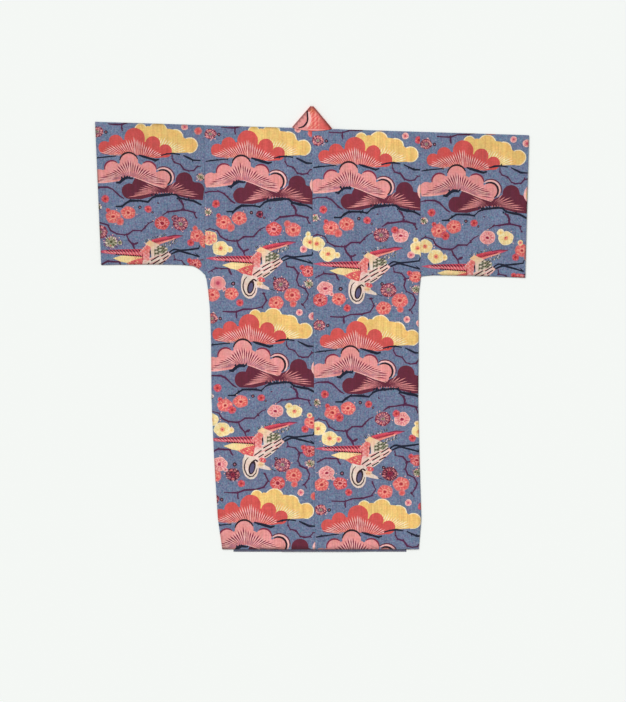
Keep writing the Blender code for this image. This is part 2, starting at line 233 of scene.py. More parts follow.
def right_front_level(down):
    return mix(THICK, COLLAR_THICK, collar_share(down)) + GAP


def back_level(down):
    return 2 * mix(THICK, COLLAR_THICK, collar_share(down)) + 2 * GAP


def edge_distance(across, down):
    """How far a place of the upper layer is from the edge of its panel."""
    out = np.abs(across)
    edges = np.full(np.broadcast(across, down).shape, 1.0)
    for side, here in ((-1, across < 0), (1, across >= 0)):
        sleeve = here & (out > PANEL)
        high = here & ~sleeve & (down < ARMHOLE[side])
        low = here & ~sleeve & ~high
        cuff = CUFF_TOP - CUFF_LEAN - out
        edges = np.where(sleeve, np.minimum.reduce([down, sleeve_drop(side, out) - down, cuff]), edges)
        edges = np.where(high, np.minimum(down, LENGTH - down), edges)
        edges = np.where(low, np.minimum(side_edge(side, down) - out, LENGTH - down), edges)
    return edges


def swell(across, down):
    """Soft swells of the upper layer, as in the solids, and small ripples of the cloth alone."""
    total = np.zeros(np.broadcast(across, down).shape)
    for x, y, long, wide, turn, height in SWELL_ROWS:
        angle = math.radians(turn)
        dx, dy = across - x, down - y
        along = (dx * math.cos(angle) + dy * math.sin(angle)) / long
        over = (dy * math.cos(angle) - dx * math.sin(angle)) / wide
        total = total + height * np.exp(-along * along - over * over)
    ripple = RIPPLE * (
        np.sin(38 * across + 21 * down + 2.1 * np.sin(9 * down))
        + np.sin(64 * across - 33 * down + 1.7 * np.sin(13 * across))
    )
    return (total + ripple) * smooth(edge_distance(across, down) / EDGE_FADE)


def seam_dip(distance):
    """The cloth turns down at a seam."""
    return SEAM_DIP * np.exp(-((distance / SEAM_WIDTH) ** 2))


def fold_ring(low, high, angle, depth, thickness):
    """How far out, and how high, both skins of a fold lie."""
    middle, half = (low + high) / 2, (high - low) / 2
    outer = (depth * np.sin(angle), middle + half * np.cos(angle))
    inner = ((depth - thickness) * np.sin(angle), middle + (half - thickness) * np.cos(angle))
    return outer, inner


def side_roll(side, down):
    """Where the flat part of the back ends, how far the cloth turns (in radians), and its straight tail."""
    below = down - ARMHOLE[side]
    degrees = np.interp(below, ROLL_DOWN, ROLL_DEGREES)
    turning = np.clip(degrees / ROLL_DEGREES[1], 0, 1)
    edge = np.where(below <= 0, PANEL - GAP / 2, side_edge(side, down))
    flat_end = edge - mix(EDGE_TAIL, FOLD, turning)
    start = ARMHOLE[side] + ROLL_DOWN[-1]
    share = np.clip((down - start) / (LENGTH - start), 0, 1)
    wrap = mix(WRAP_AT_TOP, WRAP_AT_HEM[side], share)
    tail = np.where(degrees < 180, mix(EDGE_TAIL, 0.0005, turning), wrap - FOLD)
    return flat_end, np.radians(degrees), tail


def back_outer_height(side, out, down):
    low = mix(THICK + GAP, back_level(down), over_overlap(out, down))
    dip = seam_dip(out)
    dip = dip + np.where(down < ARMHOLE[side] + 0.01, seam_dip(out - PANEL), 0)
    return low + swell(side * out, down) + THICK - dip


def front_outer_height(side, out, down):
    lift = right_front_level(down) if side > 0 else 0.0
    return lift * over_overlap(out, down)


def pick(here, these, others):
    """Coordinates from one list or the other."""
    return [np.where(here, a, b) for a, b in zip(these, others)]


def back_skins(side, out, down, on_back):
    """Both skins of the back, with the edge that turns under, and the height of its flat part."""
    flat_end, turn, _ = side_roll(side, down)
    beyond = np.where(on_back, out - flat_end, 0.0)
    flat = np.where(on_back, np.minimum(out, flat_end), out)
    high = back_outer_height(side, flat, down)
    angle = np.clip(math.pi * beyond / SIDE_ARC, 0, turn)
    tail = np.maximum(beyond - SIDE_ARC * turn / math.pi, 0)
    rolled = beyond > 0
    skins = []
    for (far, height), level in zip(fold_ring(0.0, high, angle, FOLD, THIN), (high, high - THIN)):
        step = np.where(rolled, far + tail * np.cos(turn), 0)
        skins.append((flat + step, down, np.where(rolled, height - tail * np.sin(turn), level)))
    return skins, high


def shoulder_angle(along):
    """How far a place has gone round the fold at the shoulder, from back to front."""
    return math.pi * np.clip((along + SHOULDER_ARC / 2) / SHOULDER_ARC, 0, 1)


def lay_body(side, across, along):
    """Outer and inner skin of one length of the body."""
    out = side * across
    on_back, in_fold = along < 0, np.abs(along) < SHOULDER_ARC / 2
    down = np.maximum(FOLD + np.abs(along) - SHOULDER_ARC / 2, FOLD)
    backs, high = back_skins(side, out, down, on_back)
    low = front_outer_height(side, out, down)
    rings = fold_ring(low, high, shoulder_angle(along), FOLD, THIN)
    skins = []
    for back, level, (far, height) in zip(backs, (low, low + THIN), rings):
        flat = pick(on_back, back, (out, down, level))
        x, y, z = pick(in_fold, (out, FOLD - far, height), flat)
        skins.append(place(side * x, y, z))
    return skins


def back_reach(side, down):
    flat_end, turn, tail = side_roll(side, down)
    return flat_end + SIDE_ARC * turn / math.pi + tail


def front_reach(side, down):
    start = ARMHOLE[side] + ROLL_DOWN[-1]
    share = np.clip((down - start) / (LENGTH - start), 0, 1)
    wrap = np.maximum(FOLD, mix(WRAP_AT_TOP, WRAP_AT_HEM[side], share))
    return side_edge(side, down) - wrap - GAP


def turned(side, loop, lines):
    """A cut worked out in distances from the centre, turned to its side of the garment."""
    loop, *lines = [[(side * float(out), float(along)) for out, along in line] for line in (loop, *lines)]
    return loop, lines


def body_loop(side):
    """The outline of a body length: up the centre back, round the neck, down the front and up the side."""
    armpit, hem, low_neck = ARMHOLE[side], LENGTH + FRONT_DROP, NECK_HALF / NECK_SLOPE
    neck = np.linspace(0, NECK_HALF, 12)[1:]
    bends = sorted({armpit + row for row in ROLL_DOWN} | set(np.linspace(armpit, LENGTH, 70)))
    loop = [(GAP / 2, -down - FOLD_SHIFT) for down in np.linspace(LENGTH, NECK_DIP + GAP, 60)]
    loop += [(out, -(back_neckline(out) + GAP) * (1 - out / NECK_HALF)) for out in neck]
    loop += [(front_inner_edge(down), down + FOLD_SHIFT) for down in np.linspace(0, low_neck, 18)[1:]]
    loop += [(GAP / 2, down + FOLD_SHIFT) for down in np.linspace(low_neck, LENGTH, 60)[1:]]
    loop += [(GAP / 2, hem + FOLD_SHIFT), (front_reach(side, LENGTH), hem + FOLD_SHIFT)]
    loop += [(front_reach(side, down), down + FOLD_SHIFT) for down in reversed(bends[1:])]
    loop += [(PANEL - GAP / 2, along) for along in np.linspace(armpit + FOLD_SHIFT, -armpit - FOLD_SHIFT, 90)]
    loop += [(back_reach(side, down), -down - FOLD_SHIFT) for down in bends[1:]]
    return loop


def side_fold_line(side, share):
    """A line along the side fold, at a share of the way round it."""
    line = []
    for down in np.linspace(ARMHOLE[side] + 0.004, LENGTH - 0.0005, 90):
        flat_end, turn, _ = side_roll(side, down)
        line.append((flat_end + SIDE_ARC * share * turn / math.pi, -down - FOLD_SHIFT))
    return line


def body_cut(side):
    """The outline of a body length, and the lines that its mesh has to follow."""
    shares = [k / FOLD_STEPS for k in range(FOLD_STEPS + 1)]
    shoulder = np.linspace(NECK_HALF + 0.001, PANEL - 0.0006, 36)
    lines = [[(out, SHOULDER_ARC * (share - 0.5)) for out in shoulder] for share in shares]
    lines += [side_fold_line(side, share) for share in shares]
    centre = np.linspace(0.02, LENGTH - 0.001, 100)
    armhole = np.linspace(0.006, ARMHOLE[side] - 0.002, 40)
    beside = ((0.0015, centre), (0.004, centre), (PANEL - 0.0018, armhole), (PANEL - 0.0045, armhole))
    for out, downs in beside:
        lines.append([(out, -down - FOLD_SHIFT) for down in downs])
    return turned(side, body_loop(side), lines)


def lay_sleeve(side, across, along):
    """Outer and inner skin of a sleeve, folded at the shoulder line and closed below."""
    out = side * across
    drop = sleeve_drop(side, out)
    straight = drop - 2 * FOLD
    run = np.abs(along) - SHOULDER_ARC / 2
    down = FOLD + np.clip(run, 0, straight)
    high = THICK + GAP + swell(side * out, down) + THICK - seam_dip(out - PANEL)
    angle = np.clip((run - straight) / SIDE_ARC, 0, 0.5) * math.pi
    tops = fold_ring(0.0, high, shoulder_angle(along), FOLD, THIN)
    lows = fold_ring(0.0, high, np.where(along < 0, angle, math.pi - angle), FOLD, THIN)
    in_fold = np.abs(along) < SHOULDER_ARC / 2
    share = (out - JOINED) / (CUFF_TOP - JOINED)
    skins = []
    for top, low in zip(tops, lows):
        final_down, height = pick(in_fold, (FOLD - top[0], top[1]), (down + low[0], low[1]))
        cuff = CUFF_TOP - CUFF_LEAN * final_down / drop
        skins.append(place(side * mix(JOINED, cuff, share), final_down, height))
    return skins


def sleeve_reach(side, out):
    return float(sleeve_drop(side, out)) - 2 * FOLD + SHOULDER_ARC / 2 + SIDE_ARC / 2 - 0.0001


def sleeve_cut(side):
    outs = np.linspace(JOINED, CUFF_TOP, 50)
    cuff_end, seam_end = sleeve_reach(side, CUFF_TOP), sleeve_reach(side, JOINED)
    loop = [(out, sleeve_reach(side, out)) for out in outs]
    loop += [(CUFF_TOP, along) for along in np.linspace(cuff_end, -cuff_end, 90)[1:-1]]
    loop += [(out, -sleeve_reach(side, out)) for out in outs[::-1]]
    loop += [(JOINED, along) for along in np.linspace(-seam_end, seam_end, 90)[1:-1]]
    within = np.linspace(JOINED + 0.0004, CUFF_TOP - 0.0004, 36)
    shares = [k / FOLD_STEPS for k in range(FOLD_STEPS + 1)]
    lines = [[(out, SHOULDER_ARC * (share - 0.5)) for out in within] for share in shares]
    for share in shares[1:FOLD_STEPS // 2 + 1]:
        for turn in (-1, 1):
            lines.append([(out, turn * (sleeve_reach(side, out) - SIDE_ARC * share)) for out in within])
    for out in (JOINED + 0.0015, JOINED + 0.0042, CUFF_TOP - 0.0025, CUFF_TOP - 0.0065):
        lines.append([(out, along) for along in np.linspace(-seam_end + 0.012, -0.006, 40)])
    return turned(side, loop, lines)


def lay_okumi(side, across, along):
    down = along
    low = right_front_level(down) if side > 0 else np.zeros(len(down))
    return place(across, down, low), place(across, down, low + THIN)


def okumi_cut(side):
    top = (NECK_HALF + 0.004) / NECK_SLOPE
    tip = -neckline(top) - GAP / 2
    downs = np.linspace(top, COLLAR_END, 30)
    loop = [(GAP / 2, down) for down in np.linspace(top, LENGTH + FRONT_DROP, 70)]
    loop += [(OKUMI - GAP / 2, down) for down in np.linspace(LENGTH + FRONT_DROP, COLLAR_END, 50)]
    loop += [(max(-neckline(down) - GAP / 2, tip), down) for down in downs[::-1]]
    return turned(-side, loop, [])


# The collar


def fold_frame(side):
    """The collar's fold line on one side of the peak: its foot, and the direction away from the peak."""
    foot = np.array([side * COLLAR_FOLD_HALF, 0.0005])
    tip = np.array([side * APEX_HALF, -APEX_UP])
    dx, dy = tip - foot
    size = math.hypot(dx, dy)
    return foot, tip, np.array([-side * dy / size, side * dx / size])


def lay_collar(across, along):
    """The band as it lies round the neck. The runs are unrolled outwards over both fold lines."""
    points = np.stack([across, along], -1)
    high, thin = back_level(0.0) + COLLAR_THICK, COLLAR_THICK - 0.0002
    level = np.full(len(across), high)
    skins = [[points.copy(), level.copy()], [points.copy(), level - thin]]
    for side, low in ((-1, 0.0), (1, float(right_front_level(np.array(0.0))))):
        foot, _, away = fold_frame(side)
        reach = (points - foot) @ away
        here = (reach > 0) & (np.sign(across) == side)
        angle = math.pi * np.clip(reach / COLLAR_ARC, 0, 1)
        depth = COLLAR_THICK + FOLD / 3
        rings = fold_ring(low, high, angle, depth, thin)
        straight = np.maximum(reach - COLLAR_ARC, 0)
        for skin, (out, height) in zip(skins, rings):
            shift = out - reach - straight
            moved = points + shift[:, None] * away
            skin[0] = np.where(here[:, None], moved, skin[0])
            skin[1] = np.where(here, height, skin[1])
            if side > 0:
                # the right run follows the plateau it lies on
                drop = right_front_level(moved[:, 1]) - low
                on_run = here & (straight > 0)
                skin[1] = np.where(on_run, skin[1] + drop, skin[1])
    return [place(p[:, 0], p[:, 1], z) for p, z in skins]


def unroll(side, point):
    """A place on a run, unrolled outwards over the fold line."""
    foot, _, away = fold_frame(side)
    reach = float((np.array(point) - foot) @ away)
    moved = np.array(point) + (-2 * reach + COLLAR_ARC) * away
    return (float(moved[0]), float(moved[1]))


# How far down the seam and the free edge of a run bend, as it comes round the neck
RUN_SEAM = (0.030, 0.066, 0.106, 0.150)
RUN_FREE = (-0.026, 0.024, 0.078, 0.131)


def collar_cut():
    lag = RUN_SEAM[-1] - RUN_FREE[-1]
    seam = list(RUN_SEAM) + list(np.linspace(RUN_SEAM[-1], COLLAR_END, 40)[1:])
    free = list(RUN_FREE) + list(np.linspace(RUN_FREE[-1], COLLAR_END - lag, 40)[1:])
    sides = {}
    for side in (-1, 1):
        foot, tip, away = fold_frame(side)
        over_foot, over_tip = foot + COLLAR_ARC * away, tip + COLLAR_ARC * away
        inner = [unroll(side, (side * (neckline(down) - GAP / 2), down)) for down in seam]
        outer = [unroll(side, (side * (neckline(down) - COLLAR_SPAN), down)) for down in free]
        sides[side] = [tuple(foot), tuple(over_foot), *inner, *outer[::-1], tuple(over_tip), tuple(tip)]
    neck = [(across, float(back_neckline(across))) for across in np.linspace(-0.058, 0.058, 24)]
    loop = [*neck, *sides[1], (0.0, -APEX_UP - TIP_ROUNDING), *sides[-1][::-1]]
    lines = []
    for side in (-1, 1):
        foot, tip, away = fold_frame(side)
        for k in range(FOLD_STEPS + 1):
            reach = COLLAR_ARC * k / FOLD_STEPS * away
            start, end = foot + reach, tip + reach
            lines.append([tuple(mix(start, end, share)) for share in np.linspace(0.01, 0.99, 24)])
    return turned(1, loop, lines)


# The print, in centimetres

CENTI = 100  # centimetres in a metre
REPEAT_WIDE = 34.5
REPEAT_TALL = 58.8
REPEAT_REACH = (-3, 62)  # how far down its marks lie
HAZE = 0.7  # width of the violet haze round a lobe
RIM = 0.3
SLEEVE_VARIANT = 4  # the left sleeve's
VARIANTS = 5

hand = random.Random(20)


def wobble(amount=1.0):
    return hand.uniform(-amount, amount)


class Mark:
    """A shape of one dye, or of one that fades to another with the distance from a point.

    fades is that point, the distances where the change starts and ends, and the other dye. ground is the
    share of plain ground that shows through, and a fine mark can be spared where it isn't seen.
    """

    def __init__(self, points, dye, fades=None, ground=0.0, fine=False):
        self.points = [(float(x), float(y)) for x, y in points]
        self.dye = dye
        self.fades = fades
        self.ground = ground
        self.fine = fine

    def moved(self, to):
        mark = Mark([to(x, y) for x, y in self.points], self.dye, None, self.ground, self.fine)
        if self.fades:
            x, y, start, end, dye = self.fades
            mark.fades = (*to(x, y), start / CENTI, end / CENTI, dye)
        return mark


def disc(x, y, rx, ry=None, turn=0.0, count=0, rough=0.03):
    ry = ry or rx
    count = count or max(8, int(6 + 5 * max(rx, ry)))
    angle = math.radians(turn)
    points = []
    for k in range(count):
        at = 2 * math.pi * k / count
        size = 1 + wobble(rough)
        dx, dy = rx * size * math.cos(at), ry * size * math.sin(at)
        across = x + dx * math.cos(angle) - dy * math.sin(angle)
        points.append((across, y + dx * math.sin(angle) + dy * math.cos(angle)))
    return points


def curve(points, step=0.7):
    """A soft line through the points."""
    ends = [points[0], *points, points[-1]]
    found = []
    for k in range(1, len(ends) - 2):
        a, b, c, d = (np.array(p, float) for p in ends[k - 1:k + 3])
        count = max(1, int(np.hypot(*(c - b)) / step))
        for j in range(count):
            t = j / count
            bend = (2 * a - 5 * b + 4 * c - d) * t * t + (3 * b - a - 3 * c + d) * t ** 3
            found.append(b + 0.5 * ((c - a) * t + bend))
    found.append(np.array(points[-1], float))
    return found


def stroke(points, width, dye, taper=0.35, rough=0.18, step=0.7, ground=0.0):
    """A brushed line, as short pieces that share their ends."""
    path = curve(points, step)
    edges = []
    for k, at in enumerate(path):
        ahead = path[min(k + 1, len(path) - 1)] - path[max(k - 1, 0)]
        size = np.hypot(*ahead) or 1.0
        normal = np.array([-ahead[1], ahead[0]]) / size
        share = k / max(len(path) - 1, 1)
        wide = width / 2 * (1 - taper * abs(2 * share - 1) ** 3) * (1 + wobble(rough))
        edges.append((at + normal * wide, at - normal * wide))
    return [Mark([a, b, d, c], dye, ground=ground) for (a, b), (c, d) in zip(edges, edges[1:])]


def tick(x, y, u, v, width, dye):
    """One short stroke, widest a third of the way along."""
    size = math.hypot(u - x, v - y) or 1.0
    nx, ny = -(v - y) / size * width / 2, (u - x) / size * width / 2
    mx, my = mix(x, u, 0.35), mix(y, v, 0.35)
    return Mark([(x, y), (mx - nx, my - ny), (u, v), (mx + nx, my + ny)], dye, fine=True)


def arc(x, y, r, start, end, width, dye, ry=None):
    points = []
    for k in range(9):
        at = math.radians(mix(start, end, k / 8))
        points.append((x + r * math.cos(at), y - (ry or r) * math.sin(at)))
    return stroke(points, width, dye, taper=0.5, rough=0.06, step=0.8)


def along_line(points, share):
    """The place at a share of a line's length."""
    line = np.array(points, float)
    if len(line) == 1:
        return line[0]
    runs = np.hypot(*np.diff(line, axis=0).T)
    at = share * runs.sum()
    reached = np.concatenate([[0], np.cumsum(runs)])
    return np.array([np.interp(at, reached, line[:, 0]), np.interp(at, reached, line[:, 1])])


def comb(outer, inner, count, dye, width, start=0.0, end=1.0, phase=0.5, rough=0.05):
    """Needles side by side, each from a place on one line towards the same share of another."""
    marks = []
    for k in range(count):
        share = (k + phase) / count
        tip, root = along_line(outer, share), along_line(inner, share)
        x, y = mix(tip, root, start + wobble(rough))
        u, v = mix(tip, root, end + wobble(rough))
        marks.append(tick(x, y, u, v, width * (1 + wobble(0.15)), dye))
    return marks


def bough(lobes, base, dye, rim=None, fades=None):
    """A pine bough as rounded lobes on one base, with a violet haze of dye round it."""
    marks = [Mark(disc(x, y, r + HAZE), "haze", (x, y, r, r + HAZE, "ground"), 0.8) for x, y, r in lobes]
    if rim:
        marks += [Mark(disc(x, y, r), rim) for x, y, r in lobes]
    marks += [Mark(disc(x, y, r - (RIM if rim else 0), rough=0.015), dye, fades) for x, y, r in lobes]
    return marks + [Mark(base, dye, fades)]


def spine(tip, root):
    """A wing's tip, the run from there to its root, and the direction across."""
    tip, root = np.array(tip, float), np.array(root, float)
    run = root - tip
    return tip, run, np.array([-run[1], run[0]]) / np.hypot(*run)


def vane(tip, root, wide, power=0.5, bend=0.0, count=7):
    """A feather or wing, pointed at its tip."""
    tip, run, normal = spine(tip, root)
    upper, lower = [], []
    for k in range(count + 1):
        share = k / count
        middle = tip + run * share + normal * bend * math.sin(math.pi * share)
        half = normal * wide / 2 * share ** power
        upper.append(middle - half)
        lower.append(middle + half)
    return upper[1:] + lower[:0:-1] + [tip]


def bars(tip, root, wide, count, slant, width, dye, power=0.5, first=0.15, low=0.0, high=1.0):
    """Slanting bars across a wing."""
    tip, run, normal = spine(tip, root)
    marks = []
    for k in range(count):
        share = mix(first, 0.97, (k + 0.5) / count)
        half = wide / 2 * share ** power
        middle = tip + run * share
        a = middle + normal * half * (2 * low - 1) - run / np.hypot(*run) * slant / 2
        b = middle + normal * half * (2 * high - 1) + run / np.hypot(*run) * slant / 2
        marks.append(tick(*a, *b, width, dye))
    return marks


def staggered(x, y, rows, count, step, drop, shift):
    """Places in rows, every other row shifted: the row, the place in it, and where it is."""
    for row in range(rows):
        for k in range(count):
            yield row, k, x + step * k + shift * (row % 2), y + drop * row


# How each kind of blossom is dyed: petal, rim, light, dark, eye and number of rays
BLOSSOM_DYES = {
    "coral": ("coral", "blush", "salmon", "red", "deep_red", 11),
    "red": ("red", "rose", "pink", "deep_red", "crimson", 11),
    "pink": ("pink", "pale_pink", "pale_pink", "rose", "crimson", 12),
    "cream": ("cream", "ivory", "ivory", "amber", "sienna", 5),
    "mixed": ("salmon", "cream", "cream", "coral", "sienna", 8),
    "dusty": ("mauve", "wine", "pink", "maroon", "sage", 15),
    "dark": ("wine", "maroon", "blush", "ink", "crimson", 15),
    "sage": ("sage", "haze", "bone", "olive", "olive", 12),
    "wash": ("pink", "pale_pink", "pink", "pink", "rose", 0),
}
RAGGED_KINDS = ("dusty", "dark", "sage")


def petals(x, y, rx, ry, turn, depth, rough):
    """The outline of five round petals."""
    points = []
    for k in range(20):
        at = 2 * math.pi * k / 20
        size = 1 + depth * math.cos(5 * at - turn) + wobble(rough)
        points.append((x + rx * size * math.cos(at), y + ry * size * math.sin(at)))
    return points


def eye_of(x, y, r, kind):
    """The middle of a blossom, with a light ring round it."""
    _, _, light, dark, eye, _ = BLOSSOM_DYES[kind]
    if kind == "wash":
        return [Mark(disc(x, y, 0.6 * r, 0.6 * r), "rose", (x, y, 0.0, 0.6 * r, "pink")),
                Mark(disc(x, y, 0.24 * r), "crimson", (x, y, 0.0, 0.26 * r, "rose"))]
    if kind in ("cream", "mixed"):
        marks = [Mark(disc(x, y, 0.34 * r, 0.30 * r, -20, count=8, rough=0.2), "rouge",
                      (x, y, 0.1 * r, 0.42 * r, "amber"))]
        for _ in range(3):
            marks.append(Mark(disc(x + wobble(0.3), y + wobble(0.3), 0.17, count=5), "deep_red"))
        return marks
    if kind in RAGGED_KINDS:
        return [Mark(disc(x, y, 0.24 * r, 0.2 * r, count=7, rough=0.3), eye),
                Mark(disc(x, y, 0.1 * r, count=5), dark)]
    ring = Mark(disc(x, y, 0.46 * r, 0.4 * r, count=9, rough=0.15), light, (x, y, 0.24 * r, 0.5 * r, "rouge"))
    return [ring, Mark(disc(x, y, 0.27 * r, 0.23 * r, count=7, rough=0.3), dark),
            Mark(disc(x, y, 0.17 * r, 0.14 * r, count=6, rough=0.3), eye)]


def blotches(x, y, r, ry, dyes):
    """Uneven spots of a blossom's other dyes."""
    marks = []
    for k in range(7):
        at = 0.9 * k + wobble(0.3)
        out = hand.uniform(0.45, 0.8)
        spot = disc(x + out * r * math.cos(at), y + out * ry * math.sin(at), 0.42, 0.28, wobble(90), 6, 0.2)
        marks.append(Mark(spot, dyes[k % len(dyes)]))
    return marks


def rays_of(x, y, r, ry, kind):
    """Short strokes outwards from a blossom's middle, light and dark by turns."""
    _, _, light, dark, _, rays = BLOSSOM_DYES[kind]
    marks = []

    def ray(at, low, high, width, dye):
        u, v = r * math.cos(at), ry * math.sin(at)
        marks.append(tick(x + low * u, y + low * v, x + high * u, y + high * v, width, dye))

    for k in range(rays):
        at = 2 * math.pi * (k + wobble(0.38)) / rays
        between = at + math.pi / rays
        ray(at, 0.46 + wobble(0.12), 0.98 + wobble(0.12), hand.uniform(0.18, 0.34), light)
        ray(between, 0.30 + wobble(0.08), 0.78 + wobble(0.16), hand.uniform(0.16, 0.30), dark)
        if kind in RAGGED_KINDS:
            dye = ("pale_pink", "ink", "mauve")[k % 3]
            ray(between, 0.84 + wobble(0.06), 1.08 + wobble(0.1), 0.28, dye)
    return marks


def blossom(x, y, size, kind):
    """A plum blossom, speckled with short rays and blotches as the paste leaves them."""
    petal, rim, light, dark, _, _ = BLOSSOM_DYES[kind]
    r = 0.95 * size
    ry = 0.88 * r
    ragged = kind in RAGGED_KINDS
    depth, rough, turn = (0.02, 0.06, 0.0) if ragged else (0.04, 0.05, wobble(math.pi))
    inner = 0.76 if ragged else 0.9
    marks = [Mark(disc(x, y, r + 0.8, ry + 0.8), "haze", (x, y, 0.9 * r, r + 0.8, "ground"), 0.7)]
    marks.append(Mark(petals(x, y, r, ry, turn, depth, rough), rim))
    marks.append(Mark(petals(x, y, inner * r, inner * ry, turn, depth, rough), petal))
    if kind not in ("wash", "cream", "pink"):
        marks += blotches(x, y, r, ry, (light, dark, "rouge"))
    marks += rays_of(x, y, r, ry, kind)
    marks += eye_of(x, y, r, kind)
    for _ in range(2):
        at = wobble(math.pi)
        fleck = disc(x + 1.2 * r * math.cos(at), y + 1.15 * ry * math.sin(at), 0.2, count=5)
        marks.append(Mark(fleck, "pale_pink"))
    return marks


def bud(x, y, r, kind):
    petal, rim, light, dark, _, _ = BLOSSOM_DYES[kind]
    marks = [Mark(disc(x, y, r + 0.6), "haze", (x, y, 0.9 * r, r + 0.6, "ground"), 0.7)]
    marks.append(Mark(disc(x, y, r, rough=0.08), rim))
    marks.append(Mark(disc(x, y, 0.74 * r, rough=0.1), petal))
    for k in range(6):
        at = 1.05 * k + wobble(0.3)
        dx, dy = r * math.cos(at), r * math.sin(at)
        marks.append(tick(x + 0.5 * dx, y + 0.5 * dy, x + dx, y + dy, 0.22, light if k % 2 else dark))
    marks.append(Mark(disc(x, y, 0.36 * r, count=6), dark))
    return marks


def small_ring(x, y, r):
    return [Mark(disc(x, y, r, rough=0.1), "ink"), Mark(disc(x, y, 0.45 * r), "mauve")]


# Blossoms: across, down, radius and kind. The dyes of some change from one repeat to the next. Those have
# five kinds, for the two repeats of the left back, the two of the right back, and the left sleeve.
FLOWERS = (
    (2.0, 2.3, 2.0, "dusty"),
    (1.0, 27.0, 1.5, "sage"),
    (11.0, 29.0, 2.6, "coral"),
    (6.0, 30.3, 2.7, "coral"),
    (22.1, 32.5, 2.7, "red pink dusty dusty red"),
    (28.2, 32.7, 2.7, "coral cream pink pink dusty"),
    (1.4, 35.3, 2.7, "mixed cream cream cream dusty"),
    (5.0, 38.6, 2.8, "cream cream cream cream sage"),
    (33.6, 36.7, 2.5, "cream coral cream cream coral"),
    (36.6, 38.6, 2.5, "cream coral cream cream coral"),
    (32.9, 46.0, 2.2, "red red coral red red"),
    (33.1, 50.0, 1.8, "sage"),
    (4.0, 49.6, 2.7, "wash pink pink pink wash"),
    (24.2, 50.2, 2.7, "dusty dusty dusty dark dusty"),
    (2.3, 53.3, 2.5, "coral coral red coral coral"),
    (8.3, 53.0, 2.4, "coral dark coral red coral"),
    (27.8, 53.6, 2.8, "coral"),
    (22.6, 56.0, 2.6, "coral red coral coral coral"),
)
# Buds, in the same columns
BUDS = (
    (34.3, 1.9, 1.3, "coral pink red pink coral"),
    (30.0, 0.6, 1.1, "pink"),
    (3.6, 24.4, 1.3, "red"),
    (4.4, 28.2, 0.8, "red"),
    (8.2, 31.9, 1.4, "coral red coral red coral"),
    (17.6, 27.8, 1.2, "dark red red red red"),
    (26.4, 30.9, 1.2, "coral cream red red dusty"),
    (7.9, 38.9, 1.0, "cream cream cream mixed sage"),
    (33.0, 34.2, 0.9, "cream mixed cream cream coral"),
    (31.5, 38.9, 1.2, "pink red pink red red"),
    (31.0, 44.8, 0.9, "red"),
    (6.0, 51.4, 0.7, "pink"),
    (11.0, 55.9, 1.2, "red"),
    (28.0, 56.4, 1.1, "coral"),
)
# Small rings: across, down and radius
RINGS = ((14.9, 27.2, 0.6), (8.9, 49.8, 0.7), (22.2, 48.2, 0.6), (4.7, 2.4, 0.6), (19.0, 28.9, 0.4))

# Twigs that the pines grow over, and the boughs that lie over the pines: width, dye and points
TWIGS = (
    (0.46, "purple", ((0, 21), (1.6, 20.5), (4.6, 20.5), (6.2, 21.2), (7.4, 22.4), (8.6, 23.6),
                      (9.8, 24.3))),
    (0.44, "purple", ((25.8, 9.6), (25.8, 11), (26.5, 12.2), (28.4, 12.8), (29.6, 14.5), (31, 15),
                      (32.8, 14.8), (33.8, 13.6), (35, 13.4))),
    (0.52, "purple", ((22.3, 29.9), (24, 28.7), (26.2, 28.5), (28.6, 28.1), (30.2, 28.2), (32.6, 28.8),
                      (33.4, 30.8))),
    (0.52, "purple", ((29.0, 28.2), (29.2, 26.6), (28.6, 25.3), (27.6, 24.6))),
    (0.44, "purple", ((-0.4, 33.2), (1.5, 32.3), (4, 33), (5, 34.9), (7, 36), (9.4, 36.3), (10.6, 36.2),
                      (12.4, 34.9), (15.4, 34.9), (16.6, 33.6), (17.6, 32.6), (19.2, 31.8))),
    (0.56, "purple", ((10.2, 36.3), (10.9, 38.1), (12.2, 39.5), (12.7, 41.0))),
    (0.56, "purple", ((12.4, 39.5), (13.2, 39.2), (14.0, 38.8))),
    (0.44, "purple", ((0.8, 46.2), (2, 45.6), (3.6, 44.8), (5.5, 45.0), (7.4, 45.0), (8.4, 44.2))),
    (0.56, "purple", ((7.4, 45), (7.9, 46.2), (8.5, 47.0))),
    (0.44, "purple", ((25.8, 42.8), (26.1, 44.4), (28.4, 44.8), (29.8, 46.6), (29.2, 48.8), (29.9, 50.6),
                      (32.0, 51.6), (32.9, 53.4), (32.4, 55.0), (31.2, 56.6), (31.9, 57.9))),
    (0.52, "purple", ((29.4, 46.6), (31.4, 46.3))),
    (0.46, "purple", ((18.6, 53), (19.6, 55.2), (18.2, 57.2), (15.6, 57.9), (12, 58), (9.8, 58.8),
                      (5.4, 58.6))),
    (0.46, "purple", ((9.9, 58.7), (9.8, 59.8), (10, 60.9))),
    (0.44, "maroon", ((34.2, 44.6), (35.6, 44.5))),
    (0.42, "navy", ((0.4, 11.0), (2.2, 10.7), (4.2, 10.5), (7.2, 10.2))),
)
